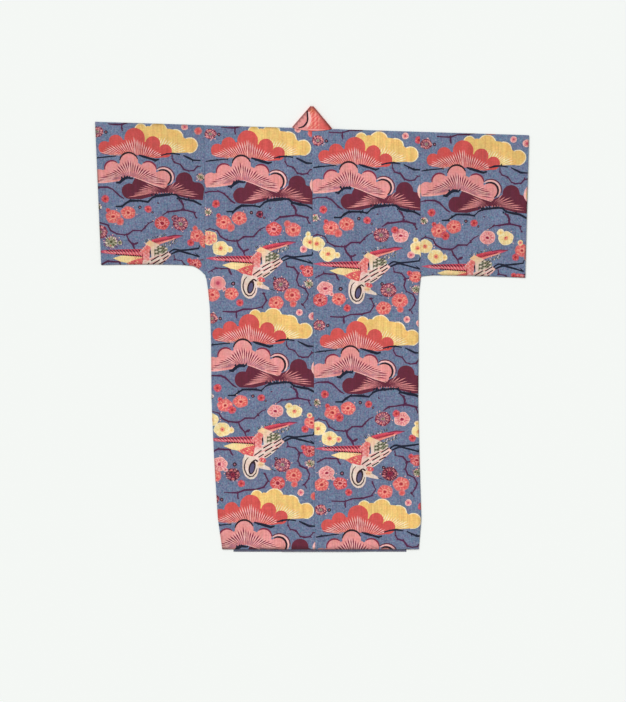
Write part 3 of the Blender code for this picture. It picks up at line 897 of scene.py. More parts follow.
BOUGHS = (
    (0.52, "navy", ((15, 9.8), (16.6, 10.3), (18.6, 10.9), (20.4, 11.5), (21.6, 11.1))),
    (0.40, "navy", ((22.2, 9.9), (24, 9.4), (26.2, 9.2), (28.4, 9.6))),
    (0.42, "navy", ((29.4, 9.8), (31, 10.6), (32.6, 11.4), (35, 11.5))),
    (0.62, "navy", ((7.4, 18.9), (8.5, 19.0), (9.6, 17.9), (11, 17.3), (12.6, 17.6))),
    (0.50, "navy", ((6.9, 26.9), (9.1, 26.9), (10.4, 25.8), (11.8, 25.0), (15.3, 25.0), (17.6, 25.4),
                    (18.9, 24.2))),
    (0.62, "navy", ((18.7, 24.2), (20.4, 23.4), (22.6, 23.1), (24.6, 22.9), (25.6, 22.8))),
    (0.52, "navy", ((25.4, 22.8), (26.9, 23.0), (28.1, 24.1), (30.3, 24.6), (32.6, 25.0), (35.2, 26.4))),
)
# Knots, first two black and then purple ones: across, down and radius
BLACK_KNOTS = 2
KNOTS = (
    (7.4, 10.1, 0.55), (15.6, 9.9, 0.5), (24.2, 28.6, 0.5), (29.3, 27.9, 0.7), (33.0, 28.9, 0.5),
    (33.4, 30.6, 0.5), (10.2, 36.2, 0.55), (12.5, 39.5, 0.6), (3.7, 44.9, 0.5), (7.6, 45.1, 0.6),
    (29.5, 46.6, 0.65), (18.6, 53.0, 0.7), (31.0, 56.6, 0.6), (20.9, 25.8, 0.45), (16.5, 34.0, 0.5),
    (9.9, 58.7, 0.5), (26.1, 44.3, 0.45), (12.2, 34.9, 0.4),
)


# Where the needles of each pine end, and the point they spread from
YELLOW_NEEDLES = ((20.7, 3.8), (23.5, 3.8), (26.1, 5.1), (29.6, 6.7), (30.7, 8.4))
RED_NEEDLES = ((2.1, 9.1), (3.6, 8.0), (7.4, 6.2), (9.5, 6.0), (11.1, 4.8), (13.8, 3.8), (15.0, 5.0),
               (18.1, 6.6), (21.2, 8.2), (23.6, 9.8))
PINK_NEEDLES = ((0.4, 18.9), (2.2, 17.4), (4.2, 16.0), (6.8, 14.5), (8.7, 12.9), (11.8, 11.2), (14.2, 12.7),
                (19.4, 15.6), (21.8, 17.0), (24.0, 18.4), (23.2, 20.0))
MAROON_NEEDLES = (
    (((17.4, 18.9), (15.5, 20.7), (13.5, 22.2), (12.3, 23.3), (11.2, 24.0)), (22.6, 22.0)),
    (((26.0, 18.4), (29.4, 19.6), (31.0, 20.9), (33.0, 22.3), (34.4, 23.4), (34.0, 24.4)), (23.6, 22.2)),
)
# The needles' sets on a pine: count, dye, width, start, end, phase and roughness
RED_COMBS = (
    (28, "deep_red", 0.28, 0.1, 0.8, 0.0, 0.1),
    (28, "pale_pink", 0.32, 0.0, 0.7, 0.5, 0.07),
    (20, "salmon", 0.24, 0.5, 0.95, 0.2, 0.1),
)
PINK_COMBS = (
    (30, "wine", 0.44, 0.0, 0.66, 0.5, 0.08),
    (30, "pale_pink", 0.28, 0.02, 0.8, 0.0, 0.1),
    (24, "mauve", 0.24, 0.55, 0.95, 0.25, 0.1),
)
# Arcs over the pink pine's lobes: across, down, radius, start and end in degrees, width and dye
LOBE_ARCS = (
    (11.8, 12.0, 3.0, 172, 18, 0.62, "ink"),
    (6.3, 14.2, 2.5, 190, 48, 0.55, "wine"),
    (18.0, 14.5, 2.6, 128, 2, 0.55, "wine"),
    (22.8, 17.2, 3.15, 128, -42, 0.55, "pale_pink"),
    (22.7, 17.3, 2.65, 122, -58, 0.66, "ink"),
    (22.9, 17.2, 3.6, 130, -14, 0.40, "maroon"),
)


def red_and_yellow_pine():
    yellow = [(15, 2), (18, 0.4), (26, 1.4), (31, 5), (33.6, 6.6), (32.6, 8.8), (28, 9.0), (24, 9.0), (17, 6)]
    marks = bough(((15.9, 1.5, 2.0), (21.5, 2.2, 3.1), (26.9, 4.0, 2.7), (31.6, 6.5, 2.6)), yellow, "yellow",
                  "ivory", fades=(21.0, 8.0, 2.5, 9.0, "amber"))
    marks += comb(YELLOW_NEEDLES, [(19.6, 9.4), (24.6, 9.6)], 13, "ivory", 0.30, 0.0, 0.7)
    marks += comb(YELLOW_NEEDLES, [(19.6, 9.4), (24.6, 9.6)], 13, "amber", 0.22, 0.05, 0.5, 0.0)
    lobes = ((4.2, 7.4, 2.1), (7.8, 5.5, 2.3), (13.9, 4.3, 3.3), (19.7, 6.0, 2.4), (23.6, 8.4, 2.2))
    red = [(2.3, 8.6), (6, 5), (11.5, 4.8), (17, 5.4), (20.5, 6.6), (25.6, 8.8), (24.8, 10.3), (20.6, 10.8),
           (15.6, 9.9), (9, 9.6), (4, 9.6)]
    marks += bough(lobes, red, "red")
    marks.append(Mark([(4.2, 9.0), (8.4, 7.6), (13.8, 5.4), (18.2, 8.0), (22.0, 9.9), (20.6, 10.5),
                       (15.4, 9.8), (9, 9.5)], "blush", (13.8, 9.6, 0.0, 7.0, "red")))
    roots = [(8.6, 10.2), (12.6, 10.4), (15.0, 10.4), (19.4, 10.9)]
    for row in RED_COMBS:
        marks += comb(RED_NEEDLES, roots, *row)
    marks.append(tick(13.8, 10.0, 13.8, 3.9, 0.34, "pale_pink"))
    return marks


def maroon_pine():
    base = [(10.0, 23.4), (12.4, 19.8), (13.6, 17.2), (18, 18.4), (23.0, 20.4), (26.4, 19.0), (28.4, 17.0),
            (31.6, 18.0), (34.4, 19.4), (36, 22), (35.6, 24.8), (31.6, 24.4), (28, 23.5), (25.8, 22.4),
            (21.6, 22.3), (18.9, 23.6), (15.4, 24.5), (11.8, 24.4)]
    lobes = ((11.7, 21.8, 2.6), (16.0, 19.6, 2.4), (29.6, 18.2, 2.8), (33.8, 21.0, 2.3))
    marks = bough(lobes, base, "maroon")
    for outer, middle in MAROON_NEEDLES:
        marks += comb(outer, [middle], 8, "blush", 0.16, 0.3, 0.86, 0.0, rough=0.1)
        marks += comb(outer, [middle], 8, "pink", 0.30, 0.0, 0.62, rough=0.08)
    low_needles = [(19.4, 21.4), (26.6, 21.6)], [(19.8, 23.4), (26.4, 23.2)]
    return marks + comb(*low_needles, 8, "blush", 0.40, 0.3, 0.9, rough=0.12)


def pink_pine():
    base = [(0.0, 16.4), (4.4, 14.2), (9.6, 12.2), (14.6, 12.4), (20, 15.2), (24, 16.4), (24.8, 18.6),
            (23.6, 20.6), (21.0, 20.2), (17.6, 18.7), (13.4, 17.1), (11.4, 16.9), (8.4, 18.4), (6.2, 18.8),
            (0.4, 19.2)]
    lobes = ((2.0, 16.8, 2.3), (6.3, 14.2, 2.5), (11.8, 12.0, 3.0), (18.0, 14.5, 2.6), (22.8, 17.2, 2.6))
    marks = bough(lobes, base, "pink")
    marks.append(Mark([(2.6, 17.6), (7.4, 15.2), (11.8, 12.8), (15.6, 15.0), (22.4, 18.6), (21.6, 19.6),
                       (17.0, 18.3), (12.8, 17.0), (11.0, 16.8), (7.8, 18.2)],
                      "blush", (11.9, 17, 1.0, 9.0, "pink")))
    roots = [(8.6, 17.6), (11.4, 17.2), (12.6, 17.4), (16.6, 18.6)]
    for row in PINK_COMBS:
        marks += comb(PINK_NEEDLES, roots, *row)
    marks.append(tick(11.9, 17.0, 11.9, 11.4, 0.3, "pale_pink"))
    marks += stroke([(12.4, 16.9), (15.6, 18.0), (19.6, 19.7), (23.2, 20.8)], 0.24, "pale_pink", step=2)
    marks += stroke([(0.4, 19.1), (3.4, 19.0), (6.4, 18.7)], 0.24, "pale_pink", step=2)
    for row in LOBE_ARCS:
        marks += arc(*row)
    return marks


# Rows of spikes: start, end, distance down and count
SPIKE_ROWS = ((9.4, 12.6, 17.4, 5), (19.0, 25.6, 23.0, 8), (27.4, 31.0, 24.3, 3), (12.4, 16.0, 25.1, 3))


def spikes():
    """Short spikes along the black boughs."""
    marks = []
    for start, end, y, count in SPIKE_ROWS:
        for k in range(count):
            x, top = mix(start, end, k / (count - 1)) + wobble(0.2), y + wobble(0.15)
            tall, wide = hand.uniform(0.4, 1.0), hand.uniform(0.5, 0.9)
            marks.append(tick(x, top + 0.4, x + wobble(0.5), top - tall, wide, "navy"))
    return marks


def ruffled(start, end, rows, count, lean, dyes):
    """Short dashes in loose rows below a line, as on ruffled feathers."""
    marks = []
    for row in range(rows):
        for k in range(count):
            share = (k + 0.5 * (row % 2)) / count
            x = mix(start[0], end[0], share) + wobble(0.25)
            y = mix(start[1], end[1], share) + 0.5 * row + wobble(0.2)
            run, width = hand.uniform(0.4, 0.8), hand.uniform(0.24, 0.4)
            marks.append(tick(x, y, x + lean * run, y + run, width, dyes[(k + row) % len(dyes)]))
    return marks


def left_wing():
    """A barred row over a pale row and a row of fine feathers."""
    barred = [(9.0, 44.9), (12.4, 44.0), (15.6, 43.4), (15.8, 46.6), (14.8, 48.0), (12.4, 47.0)]
    marks = [Mark(barred, "coral")]
    for row, k, x, y in staggered(9.8, 44.7, 7, 7, 0.85, 0.5, 0.4):
        if x < 15.3 and y < 44.8 + 0.55 * (x - 9.4):
            marks.append(tick(x, y, x + 0.75, y + 0.6, 0.22, ("deep_red", "cream", "red")[(row + k) % 3]))
    marks.append(Mark([(5.4, 43.9), (8, 43.1), (15.4, 42.6), (15.6, 43.8), (12.6, 44.4), (10.0, 45.4),
                       (8.0, 45.0)], "cream", (8, 44, 2.0, 8.0, "peach")))
    marks += [tick(12.6 + 0.6 * k, 43.5, 13.2 + 0.6 * k, 44.3, 0.24, "red") for k in range(5)]
    tip, root = (0.1, 41.7), (15.6, 42.2)
    marks.append(Mark(vane(tip, root, 2.5, 0.5), "cerise", (15.4, 42.2, 3.0, 15.0, "rose")))
    marks += bars(tip, root, 2.5, 11, 1.7, 0.52, "maroon", 0.5, 0.22, 0.0, 0.60)
    marks += bars(tip, root, 2.4, 12, 1.4, 0.42, "pink", 0.5, 0.16, 0.34, 0.98)
    marks += bars(tip, root, 2.7, 11, 0.9, 0.55, "ink", 0.5, 0.40, 0.82, 1.04)
    return marks


def right_wing():
    """A pointed wing with ruffled feathers on both edges."""
    marks = ruffled((16.2, 37.9), (23.6, 35.6), 3, 11, 0.7, ("olive", "ink", "bone", "sage", "taupe"))
    marks += ruffled((20.8, 39.9), (27.2, 37.4), 3, 11, -0.7, ("olive", "bone", "taupe", "sage"))
    tip, root = (28.8, 36.7), (18.7, 39.2)
    marks.append(Mark(vane(tip, root, 2.5, 0.6, 0.3), "cerise", (19, 39, 3.0, 11.0, "rose")))
    marks += bars(tip, root, 2.3, 12, -1.5, 0.36, "salmon", 0.6, 0.25, 0.05, 0.55)
    marks += bars(tip, root, 2.2, 11, -1.4, 0.36, "crimson", 0.6, 0.30, 0.35, 0.95)
    marks += stroke([(23.6, 37.0), (26.4, 36.5), (29.0, 36.7)], 0.4, "wine", step=2)
    marks += stroke([(18.6, 39.1), (20.4, 40.1), (22.0, 40.1)], 0.36, "crimson", step=2)
    return marks


def crane_wings():
    marks = [Mark(vane((-0.4, 41.9), (16, 42.4), 3.2), "haze", ground=0.6)]
    marks.append(Mark(vane((29.6, 36.4), (17.6, 39.6), 3.8), "haze", ground=0.6))
    return marks + left_wing() + right_wing()


# The dark dashes on the crane's tail, from and to
TAIL_DASHES = (
    ((18.4, 44.6), (20.5, 43.4)), ((21.8, 43.2), (23.6, 42.1)), ((22.3, 44.2), (23.8, 43.2)),
    ((18.9, 45.7), (20.8, 44.6)), ((21.0, 45.7), (22.7, 44.9)), ((15.5, 46.9), (17.3, 45.6)),
    ((16.3, 47.8), (18.0, 46.8)), ((18.7, 47.5), (20.4, 46.5)),
)


def crane_back():
    marks = [Mark(vane((26.4, 42.4), (14, 47.4), 6.8), "haze", ground=0.6)]
    marks.append(Mark([(18.9, 40.2), (21.0, 39.7), (23.9, 40.9), (23.4, 42.2), (19.2, 43.8)], "sage"))
    for row, k, x, y in staggered(19.3, 40.1, 6, 5, 0.82, 0.55, 0.3):
        dye = ("olive", "taupe", "bone", "olive")[(k + 2 * row) % 4]
        marks.append(tick(x - 0.1, y + 0.3, x + 0.9, y - 0.1, 0.5, dye))
    return marks


def crane_tail():
    marks = [Mark([(15.4, 44.6), (18.9, 43.4), (24.1, 41.8), (24.9, 42.9), (22.4, 45.3), (21.0, 46.6),
                   (19.2, 47.9), (16.6, 48.3), (14.8, 47.7)], "bone", (20, 45, 3.0, 6.0, "pale_pink"))]
    for ends in (((15.8, 45.1), (23.4, 42.3)), ((16.0, 46.6), (24.2, 43.0)), ((17.4, 47.7), (24.0, 43.8))):
        marks += stroke(ends, 0.26, "pink", step=4)
    for start, end in TAIL_DASHES:
        longer = [tuple(mix(np.array(start), np.array(end), share)) for share in (-0.15, 1.15)]
        marks += stroke(longer, 0.64, "ink", taper=0.4, rough=0.05, step=9)
    return marks


def crane_breast():
    """Scales below a plain shoulder."""
    marks = [Mark([(14.6, 41.7), (16.8, 39.3), (18.1, 39.9), (18.0, 41.6), (17.4, 44.6), (15.5, 44.4)],
                  "rouge", (16.6, 40.2, 0.5, 4.5, "pink"))]
    for row, k, x, y in staggered(15.3, 40.3, 7, 3, 0.8, 0.6, 0.3):
        y += 0.1 * k
        marks.append(tick(x, y, x + 0.5, y + 0.4, 0.26, ("red", "pale_pink")[(row + k) % 2]))
    marks.append(Mark([(16.3, 39.3), (17.8, 38.1), (19.0, 38.7), (21.1, 39.6), (20.2, 40.3), (19.3, 41.0),
                       (19.2, 43.5), (18.3, 43.9), (18.1, 40.3)], "peach", (17.4, 38.6, 0.5, 4.5, "bone")))
    for k in range(5):
        marks.append(tick(14.6 + 0.5 * k, 41.9 - 0.5 * k, 15.0 + 0.5 * k, 41.3 - 0.5 * k, 0.3, "bone"))
    marks.append(tick(15.3, 42.2, 15.2, 45.0, 0.36, "crimson"))
    marks.append(tick(17.9, 41.2, 17.9, 43.4, 0.55, "ink"))
    return marks


def crane_legs():
    marks = []
    for leg in (((24.2, 42.2), (25.8, 41.1), (28, 41.4), (31, 41.2), (34.2, 40.8)),
                ((24.8, 42.7), (27.2, 41.7), (29, 42.0), (31.6, 42.7), (34.4, 43.5))):
        marks += stroke(leg, 0.6, "navy", taper=0.2)
    marks += stroke([(34.1, 41.0), (34.4, 39.8)], 0.6, "navy", step=9)
    return marks + [tick(34.3, 43.4, 32.6 + 0.3 * k, 42.1 + 0.3 * k, 0.34, "navy") for k in range(3)]


def crane_head():
    """The neck, a pale loop round a dark drop, and the head."""
    marks = [Mark(disc(13.9, 50.9, 3.3, 4.9), "haze", ground=0.6)]
    marks.append(Mark(disc(18.4, 50, 3.0, 2.4), "haze", ground=0.6))
    marks.append(Mark([(12.2, 46.6), (14, 47.2), (16.6, 47.6), (16.8, 49.6), (14, 51.6), (11.4, 50.4),
                       (11.5, 48.4)], "bone"))
    marks.append(Mark(disc(14.0, 50.9, 2.6, 3.75, -6, count=22, rough=0.0), "bone"))
    marks += arc(14.1, 50.6, 2.05, 112, 350, 0.46, "taupe", 3.2)
    marks.append(Mark(disc(14.5, 50.9, 1.1, 2.25, 14, count=14, rough=0.02), "ink"))
    marks.append(Mark(disc(14.5, 51.1, 0.66, 1.6, 12, count=12, rough=0.02), "slate"))
    marks += stroke([(14.7, 49.0), (15.6, 48.5), (16.6, 49.3)], 0.5, "ink", step=0.5)
    marks.append(Mark(vane((20.8, 51.7), (16.6, 50.1), 1.8, 0.5), "bone"))
    marks.append(Mark(disc(17.3, 49.8, 1.3, 0.95, 12, rough=0.08), "peach", (17.3, 49.8, 0.3, 1.3, "bone")))
    marks.append(Mark(disc(17.9, 48.6, 1.25, 0.75, 15, rough=0.1), "rouge", (17.9, 48.6, 0.2, 1.3, "cerise")))
    for k in range(4):
        marks.append(tick(16.9 + 0.5 * k, 48.9, 17.2 + 0.5 * k, 48.2, 0.28, ("bone", "crimson")[k % 2]))
        marks.append(tick(16.6 + 0.5 * k, 50.3, 16.9 + 0.5 * k, 49.7, 0.24, ("sienna", "sage")[k % 2]))
    marks += stroke([(20.3, 51.4), (22.2, 52.1)], 0.32, "navy", step=9)
    return marks


def crane():
    """A flying crane, its neck bent back under its body, from simple vanes, discs and ticks."""
    return crane_wings() + crane_back() + crane_tail() + crane_breast() + crane_legs() + crane_head()


TWIG_HAZE = 1.2
# How much wider a line is drawn than its table says
TWIG_WEIGHT = 1.2
BOUGH_WEIGHT = 1.45


def twig(points, width, dye):
    """A twig with a knot or a thorn at each of its bends."""
    marks = stroke(points, width, dye, rough=0.3, step=1.9)
    for x, y in points[1:-1]:
        angle, reach = wobble(math.pi), hand.uniform(0.4, 0.9)
        marks.append(Mark(disc(x, y, 0.62 * width, 0.48 * width, math.degrees(angle), 6, 0.2), dye))
        marks.append(tick(x, y, x + reach * math.cos(angle), y + reach * math.sin(angle), 0.9 * width, dye))
    return marks


def draw_repeat(variant):
    """One repeat of the stencil."""
    marks = []
    for width, _, points in TWIGS + BOUGHS:
        marks += stroke(points, width + TWIG_HAZE, "haze", rough=0.1, step=2.2, ground=0.75)
    for width, dye, points in TWIGS:
        marks += twig(points, width * TWIG_WEIGHT, dye)
    for k, (x, y, r) in enumerate(KNOTS):
        knot = disc(x, y, 0.95 * r, 0.6 * r, wobble(90), 5, 0.3)
        marks.append(Mark(knot, "navy" if k < BLACK_KNOTS else "purple"))
    marks += red_and_yellow_pine()
    marks += maroon_pine()
    marks += pink_pine()
    if variant == SLEEVE_VARIANT:
        marks += blossom(35.0, 17.0, 1.6, "sage")
    else:
        marks += [Mark(disc(36.3, 18.4, 2.6, 3.0), "pale_pink"), Mark(disc(36.5, 18.6, 2.1, 2.5), "peach")]
    for width, dye, points in BOUGHS:
        marks += twig(points, BOUGH_WEIGHT * width, dye)
    marks += spikes()
    for table, draw in ((FLOWERS, blossom), (BUDS, bud)):
        for x, y, r, kinds in table:
            kinds = kinds.split()
            marks += draw(x, y, r, kinds[variant % len(kinds)])
    for x, y, r in RINGS:
        marks += small_ring(x, y, r)
    marks += crane()
    return marks


PRINTS = [draw_repeat(variant) for variant in range(VARIANTS)]

# Where the stencil starts on each panel: its left edge, how far below the shoulder fold, and its repeat, in
# centimetres, and which variants its repeats on the back follow
PRINT_ROWS = {
    "body_left": (-REPEAT_WIDE, 0.25, 58.5, (0, 1)),
    "body_right": (-0.16, 1.33, 59.05, (2, 3)),
    "sleeve_left": (-70.74, 0.59, REPEAT_TALL, (SLEEVE_VARIANT, 0)),
    "sleeve_right": (REPEAT_WIDE, 1.36, REPEAT_TALL, (1, 2)),
    "okumi_left": (-4.0, 21.0, REPEAT_TALL, (0, 1)),
    "okumi_right": (-30.0, 8.0, REPEAT_TALL, (2, 3)),
}
PRINT_SHEAR = 0.024
# How far the print rides up below a place on the back: rise, start and stretch, in centimetres
PRINT_RIDES = {"body_left": (1.0, 84.0, 14.0), "sleeve_left": (1.8, 0.0, 48.0)}


def haze_first(marks):
    """The haze of every repeat lies under all the other marks."""
    return [mark for mark in marks if mark.ground] + [mark for mark in marks if not mark.ground]


def printed(name, low, high):
    """The marks that fall on a panel between two places along it. Down the back is negative there.

    The side that lies on the floor has half of the finest marks.
    """
    left, start, repeat, variants = PRINT_ROWS[name]
    rise, ride_start, stretch = PRINT_RIDES.get(name, (0.0, 0.0, 1.0))
    turn = 1 if name.startswith("okumi") else -1
    marks = []
    for number in range(-4, 5):
        offset = start + number * repeat

        def to(x, y):
            down = y + offset + PRINT_SHEAR * (REPEAT_WIDE / 2 - x)
            down -= rise * smooth((down - ride_start) / stretch)
            return ((left + x) / CENTI, turn * down / CENTI)

        span = sorted(turn * (offset + reach) / CENTI for reach in REPEAT_REACH)
        if span[1] < low or span[0] > high:
            continue
        for count, mark in enumerate(PRINTS[variants[number % len(variants)]]):
            moved = mark.moved(to)
            alongs = [point[1] for point in moved.points]
            spared = mark.fine and count % 2 and min(alongs) > 0
            if max(alongs) > low and min(alongs) < high and not spared:
                marks.append(moved)
    return haze_first(marks)


# The part of the print that the peak of the collar shows, across and down from the neck
PEAK_RED = ((2.4, -3.0), (3.4, -3.4), (8.0, 0.6), (7.0, 1.6), (3.0, 0.9), (2.5, -1.0))
PEAK_ARC = ((-1.5, -5.6), (-1.42, -3.7), (-1.35, -2.9), (-1.5, -2.0), (-2.0, -1.2), (-2.8, -0.4),
            (-4.4, 0.1))


def peak_marks():
    marks = [Mark(((-9, -9), (9, -9), (9, 2), (-9, 2)), "rouge")]
    marks.append(Mark(((-1.4, 2), (-1.3, -9), (-9, -9), (-9, 2)), "pink"))
    marks.append(Mark(disc(0.1, -5.6, 1.3), "sienna", (0.1, -5.5, 0.2, 1.3, "rouge")))
    for _, k, x, y in staggered(-0.35, -5.4, 8, 6, 0.62, 0.72, 0.25):
        if x < 0.86 * (y + 6.3) and not (x > 2.2 and y > -2.6):
            marks.append(tick(x - 0.35, y + 0.6, x + 0.45, y - 0.6, 0.30, "red" if k % 2 else "salmon"))
    marks.append(Mark(PEAK_RED, "red", (5.6, -0.6, 0.5, 4.0, "rouge")))
    pale_line = [(-1.0, -5.2), (-0.75, -3.4), (-0.7, -2.4), (-1.0, -1.2), (-1.6, -0.3)]
    marks += stroke(pale_line, 0.85, "pale_pink")
    marks += stroke(PEAK_ARC, 0.55, "ink", taper=0.2)
    marks += stroke([(-1.2, 0.45), (1.6, 0.5), (4.2, 0.4)], 0.22, "pale_pink", step=1.5)
    return [mark.moved(lambda x, y: (x / CENTI, y / CENTI)) for mark in marks]


# How the print lies on the collar's runs: from how far down, in metres, and in centimetres how far a mark
# may lie from the seam, and how much of the repeat is above the top
RUN_TOP = 0.10
RUN_REACH = 9
RUN_START = 12


def run_marks(side, first):
    """The print on one run of the collar, laid along the unrolled band. "first" lies on its seam."""
    top = np.array(unroll(side, (side * neckline(RUN_TOP), RUN_TOP)))
    end = np.array(unroll(side, (side * neckline(COLLAR_END), COLLAR_END)))
    run = (end - top) / np.hypot(*(end - top))
    over = np.array([-run[1], run[0]]) * side
    foot, _, away = fold_frame(side)
    marks = []
    for number in range(2):
        for mark in PRINTS[number]:
            if max(abs(x - first) for x, _ in mark.points) > RUN_REACH:
                continue

            def to(x, y):
                at = top + run * (y + REPEAT_TALL * number - RUN_START) / CENTI + over * (x - first) / CENTI
                return (float(at[0]), float(at[1]))

            moved = mark.moved(to)
            if ((np.array(moved.points) - foot) @ away).min() > COLLAR_ARC + 0.002:
                marks.append(moved)
    return haze_first(marks)


def collar_marks():
    return peak_marks() + run_marks(-1, 9.0) + run_marks(1, 24.0)


# Painted shade, where the cloth is darkened at its folds, seams, hems and cuffs: by how much, and how wide,
# in metres
SHOULDER_SHADE = (0.68, 0.0045)
HEM_SHADE = (0.62, 0.0036)
SEAM_SHADE = (0.20, 0.0020)
ARMHOLE_SHADE = (0.16, 0.0020)
SIDE_SHADE = (0.38, 0.0032)
CUFF_SHADE = (0.60, 0.0034)
UNDERARM_SHADE = (0.40, 0.0040)
COLLAR_SHADE = (0.72, 0.0034)
OKUMI_SHADE = (0.3, 0.0030)
SLEEVE_PAINTED_SHADE = 0.11  # painted shade, all over a sleeve
# the most that the painted shade darkens a corner's dye
DARKEST = 0.75


def shade(distance, how):
    amount, width = how
    return amount * np.exp(-((distance / width) ** 2))


# Painted shade on a body length: darker at the shoulder fold, the hem, the centre seam, the armhole seam and
# along the side fold
def worn_body(side, across, along):
    out, down = side * across, np.abs(along)
    armhole = down < ARMHOLE[side]
    flat_end, _, _ = side_roll(side, down)
    dark = shade(along, SHOULDER_SHADE) + shade(LENGTH - 0.001 - down, HEM_SHADE) + shade(out, SEAM_SHADE)
    dark = dark + np.where(armhole, shade(PANEL - out, ARMHOLE_SHADE), 0)
    side_fold = shade(np.maximum(flat_end + 0.002 - out, 0), SIDE_SHADE)
    return dark + np.where(~armhole & (along < 0), side_fold, 0)


# Painted shade on a sleeve: darker all over, and more at the shoulder fold, the cuff, the seam and the fold
# below
def worn_sleeve(side, across, along):
    out = side * across
    reach = np.interp(out, SLEEVE_OUT, SLEEVE_DROP[side])
    dark = SLEEVE_PAINTED_SHADE + shade(along, SHOULDER_SHADE)
    dark = dark + shade(CUFF_TOP - out, CUFF_SHADE) + shade(PANEL - out, SEAM_SHADE)
    return dark + shade(np.maximum(reach - np.abs(along), 0), UNDERARM_SHADE)


# Painted shade along the collar's fold lines
def worn_collar(across, along):
    points = np.stack([across, along], -1)
    dark = np.zeros(len(across))
    for side in (-1, 1):
        foot, _, away = fold_frame(side)
        here = np.sign(across) == side
        dark = dark + np.where(here, shade((points - foot) @ away - 0.0012, COLLAR_SHADE), 0)
    return dark


# Painted shade at the hem of an okumi
def worn_okumi(side, across, along):
    return shade(LENGTH + FRONT_DROP - along, OKUMI_SHADE)


# Cloth from a cut, a print and a lie


def inside(points, loop):
    """Which points lie inside a closed loop."""
    x, y = points[:, 0], points[:, 1]
    loop = np.array(loop)
    found = np.zeros(len(points), bool)
    for (x0, y0), (x1, y1) in zip(loop, np.roll(loop, -1, 0)):
        crosses = (y0 > y) != (y1 > y)
        with np.errstate(divide="ignore", invalid="ignore"):
            at = (x1 - x0) * (y - y0) / (y1 - y0) + x0
        found ^= crosses & (x < at)
    return found


def area_of(points):
    x, y = np.array(points).T
    return (x * np.roll(y, -1) - y * np.roll(x, -1)).sum() / 2


def tops_of(shapes, places, triangles, owners):
    """For each triangle the number of the last shape over it, as the loop is shape 0.

    The triangulation can lose a sliver's edges and give the sliver everything. A shape that covers more than
    its area is tested again.
    """
    corners = places[triangles]
    middles = corners.mean(1)
    areas = np.abs(np.cross(corners[:, 1] - corners[:, 0], corners[:, 2] - corners[:, 0])) / 2
    every = np.concatenate(owners)
    covered = np.bincount(every, np.repeat(areas, [len(owner) for owner in owners]), len(shapes))
    spilt = [k for k in range(1, len(shapes)) if covered[k] > SPILT * abs(area_of(shapes[k])) + 1e-6]
    tops = np.array([max(k for k in owner if k not in spilt) for owner in owners])
    for k in spilt:
        tops = np.where(inside(middles, shapes[k]), np.maximum(tops, k), tops)
    return tops


def triangulate(loop, lines, marks, spacing):
    """Triangles of the cut sheet, and for each the number of the mark on top, or -1 for plain ground."""
    points, edges, faces = [], [], []
    shapes = [loop] + [mark.points for mark in marks]
    for shape in shapes:
        start = len(points)
        points += shape if area_of(shape) > 0 else shape[::-1]
        faces.append(list(range(start, len(points))))
    for line in lines:
        start = len(points)
        points += line
        edges += [(k, k + 1) for k in range(start, len(points) - 1)]
    low, high = np.min(loop, 0) + spacing / 2, np.max(loop, 0)
    x, y = np.meshgrid(np.arange(low[0], high[0], spacing), np.arange(low[1], high[1], spacing))
    grid = np.stack([x.ravel(), y.ravel()], -1)
    points += [tuple(point) for point in grid[inside(grid, loop)]]
    found = delaunay_2d_cdt([Vector(p) for p in points], edges, faces, 0, 1e-6)
    places = np.array([tuple(p) for p in found[0]])
    kept = [(face, owner) for face, owner in zip(found[2], found[5]) if 0 in owner and len(face) == 3]
    triangles = np.array([face for face, _ in kept])
    tops = tops_of(shapes, places, triangles, [owner for _, owner in kept])
    used = np.unique(triangles)
    index = np.full(len(places), -1)
    index[used] = np.arange(len(used))
    return places[used], index[triangles], tops - 1


def border_of(triangles):
    """The corners round the edge of the sheet, in order."""
    ends = np.concatenate([triangles[:, [0, 1]], triangles[:, [1, 2]], triangles[:, [2, 0]]])
    _, firsts, times = np.unique(np.sort(ends, axis=1), axis=0, return_index=True, return_counts=True)
    ahead = dict(ends[firsts[times == 1]].tolist())
    border = [next(iter(ahead))]
    while ahead[border[-1]] != border[0]:
        border.append(ahead[border[-1]])
    return np.array(border)


def dyes_at(marks, places, triangles, tops):
    """Each corner's colour, with the share of plain ground in its last place."""
    colours = np.ones((len(triangles), 3, 4))
    colours[:, :, :3] = INK["ground"]
    order = np.argsort(tops, kind="stable")
    numbers, firsts = np.unique(tops[order], return_index=True)
    for number, here in zip(numbers, np.split(order, firsts[1:])):
        if number < 0:
            continue
        mark = marks[number]
        base = INK[mark.dye][None, None, :]
        if mark.fades:
            x, y, start, end, dye = mark.fades
            spot = places[triangles[here]]
            distance = np.hypot(spot[:, :, 0] - x, spot[:, :, 1] - y)
            share = np.clip((distance - start) / max(end - start, 1e-6), 0, 1)[:, :, None]
            base = mix(base, INK[dye][None, None, :], share)
        colours[here, :, :3] = base
        colours[here, :, 3] = mark.ground
    return colours


def strip(places, triangles, cell_size, skin):
    """A map for the bake, with the back and the front of both skins side by side."""
    wide, long = cell_size
    columns, rows = (4, 1) if long > 2 * wide else (2, 2)
    scale = 1 / max(columns * wide, rows * long)
    corners = places[triangles]
    for_front = corners.mean(1)[:, 1] > 0
    cell = 2 * skin + for_front
    x = corners[:, :, 0] - places[:, 0].min() + 0.003 + (cell % columns)[:, None] * wide
    y = np.where(for_front[:, None], 1, -1) * corners[:, :, 1] + 0.022 + (cell // columns)[:, None] * long
    return np.stack([x, y], -1) * scale


def rims_of(places, border, lining):
    """Triangles that join the edge of the outer skin to that of the lining, which is numbered after it."""
    keys = {tuple(np.round(place, 6)): k for k, place in enumerate(lining)}
    across = np.array([keys[tuple(np.round(places[k], 6))] for k in border]) + len(places)
    a, b, c, d = border, np.roll(border, -1), across, np.roll(across, -1)
    return np.concatenate([np.stack([b, a, c], 1), np.stack([b, c, d], 1)])


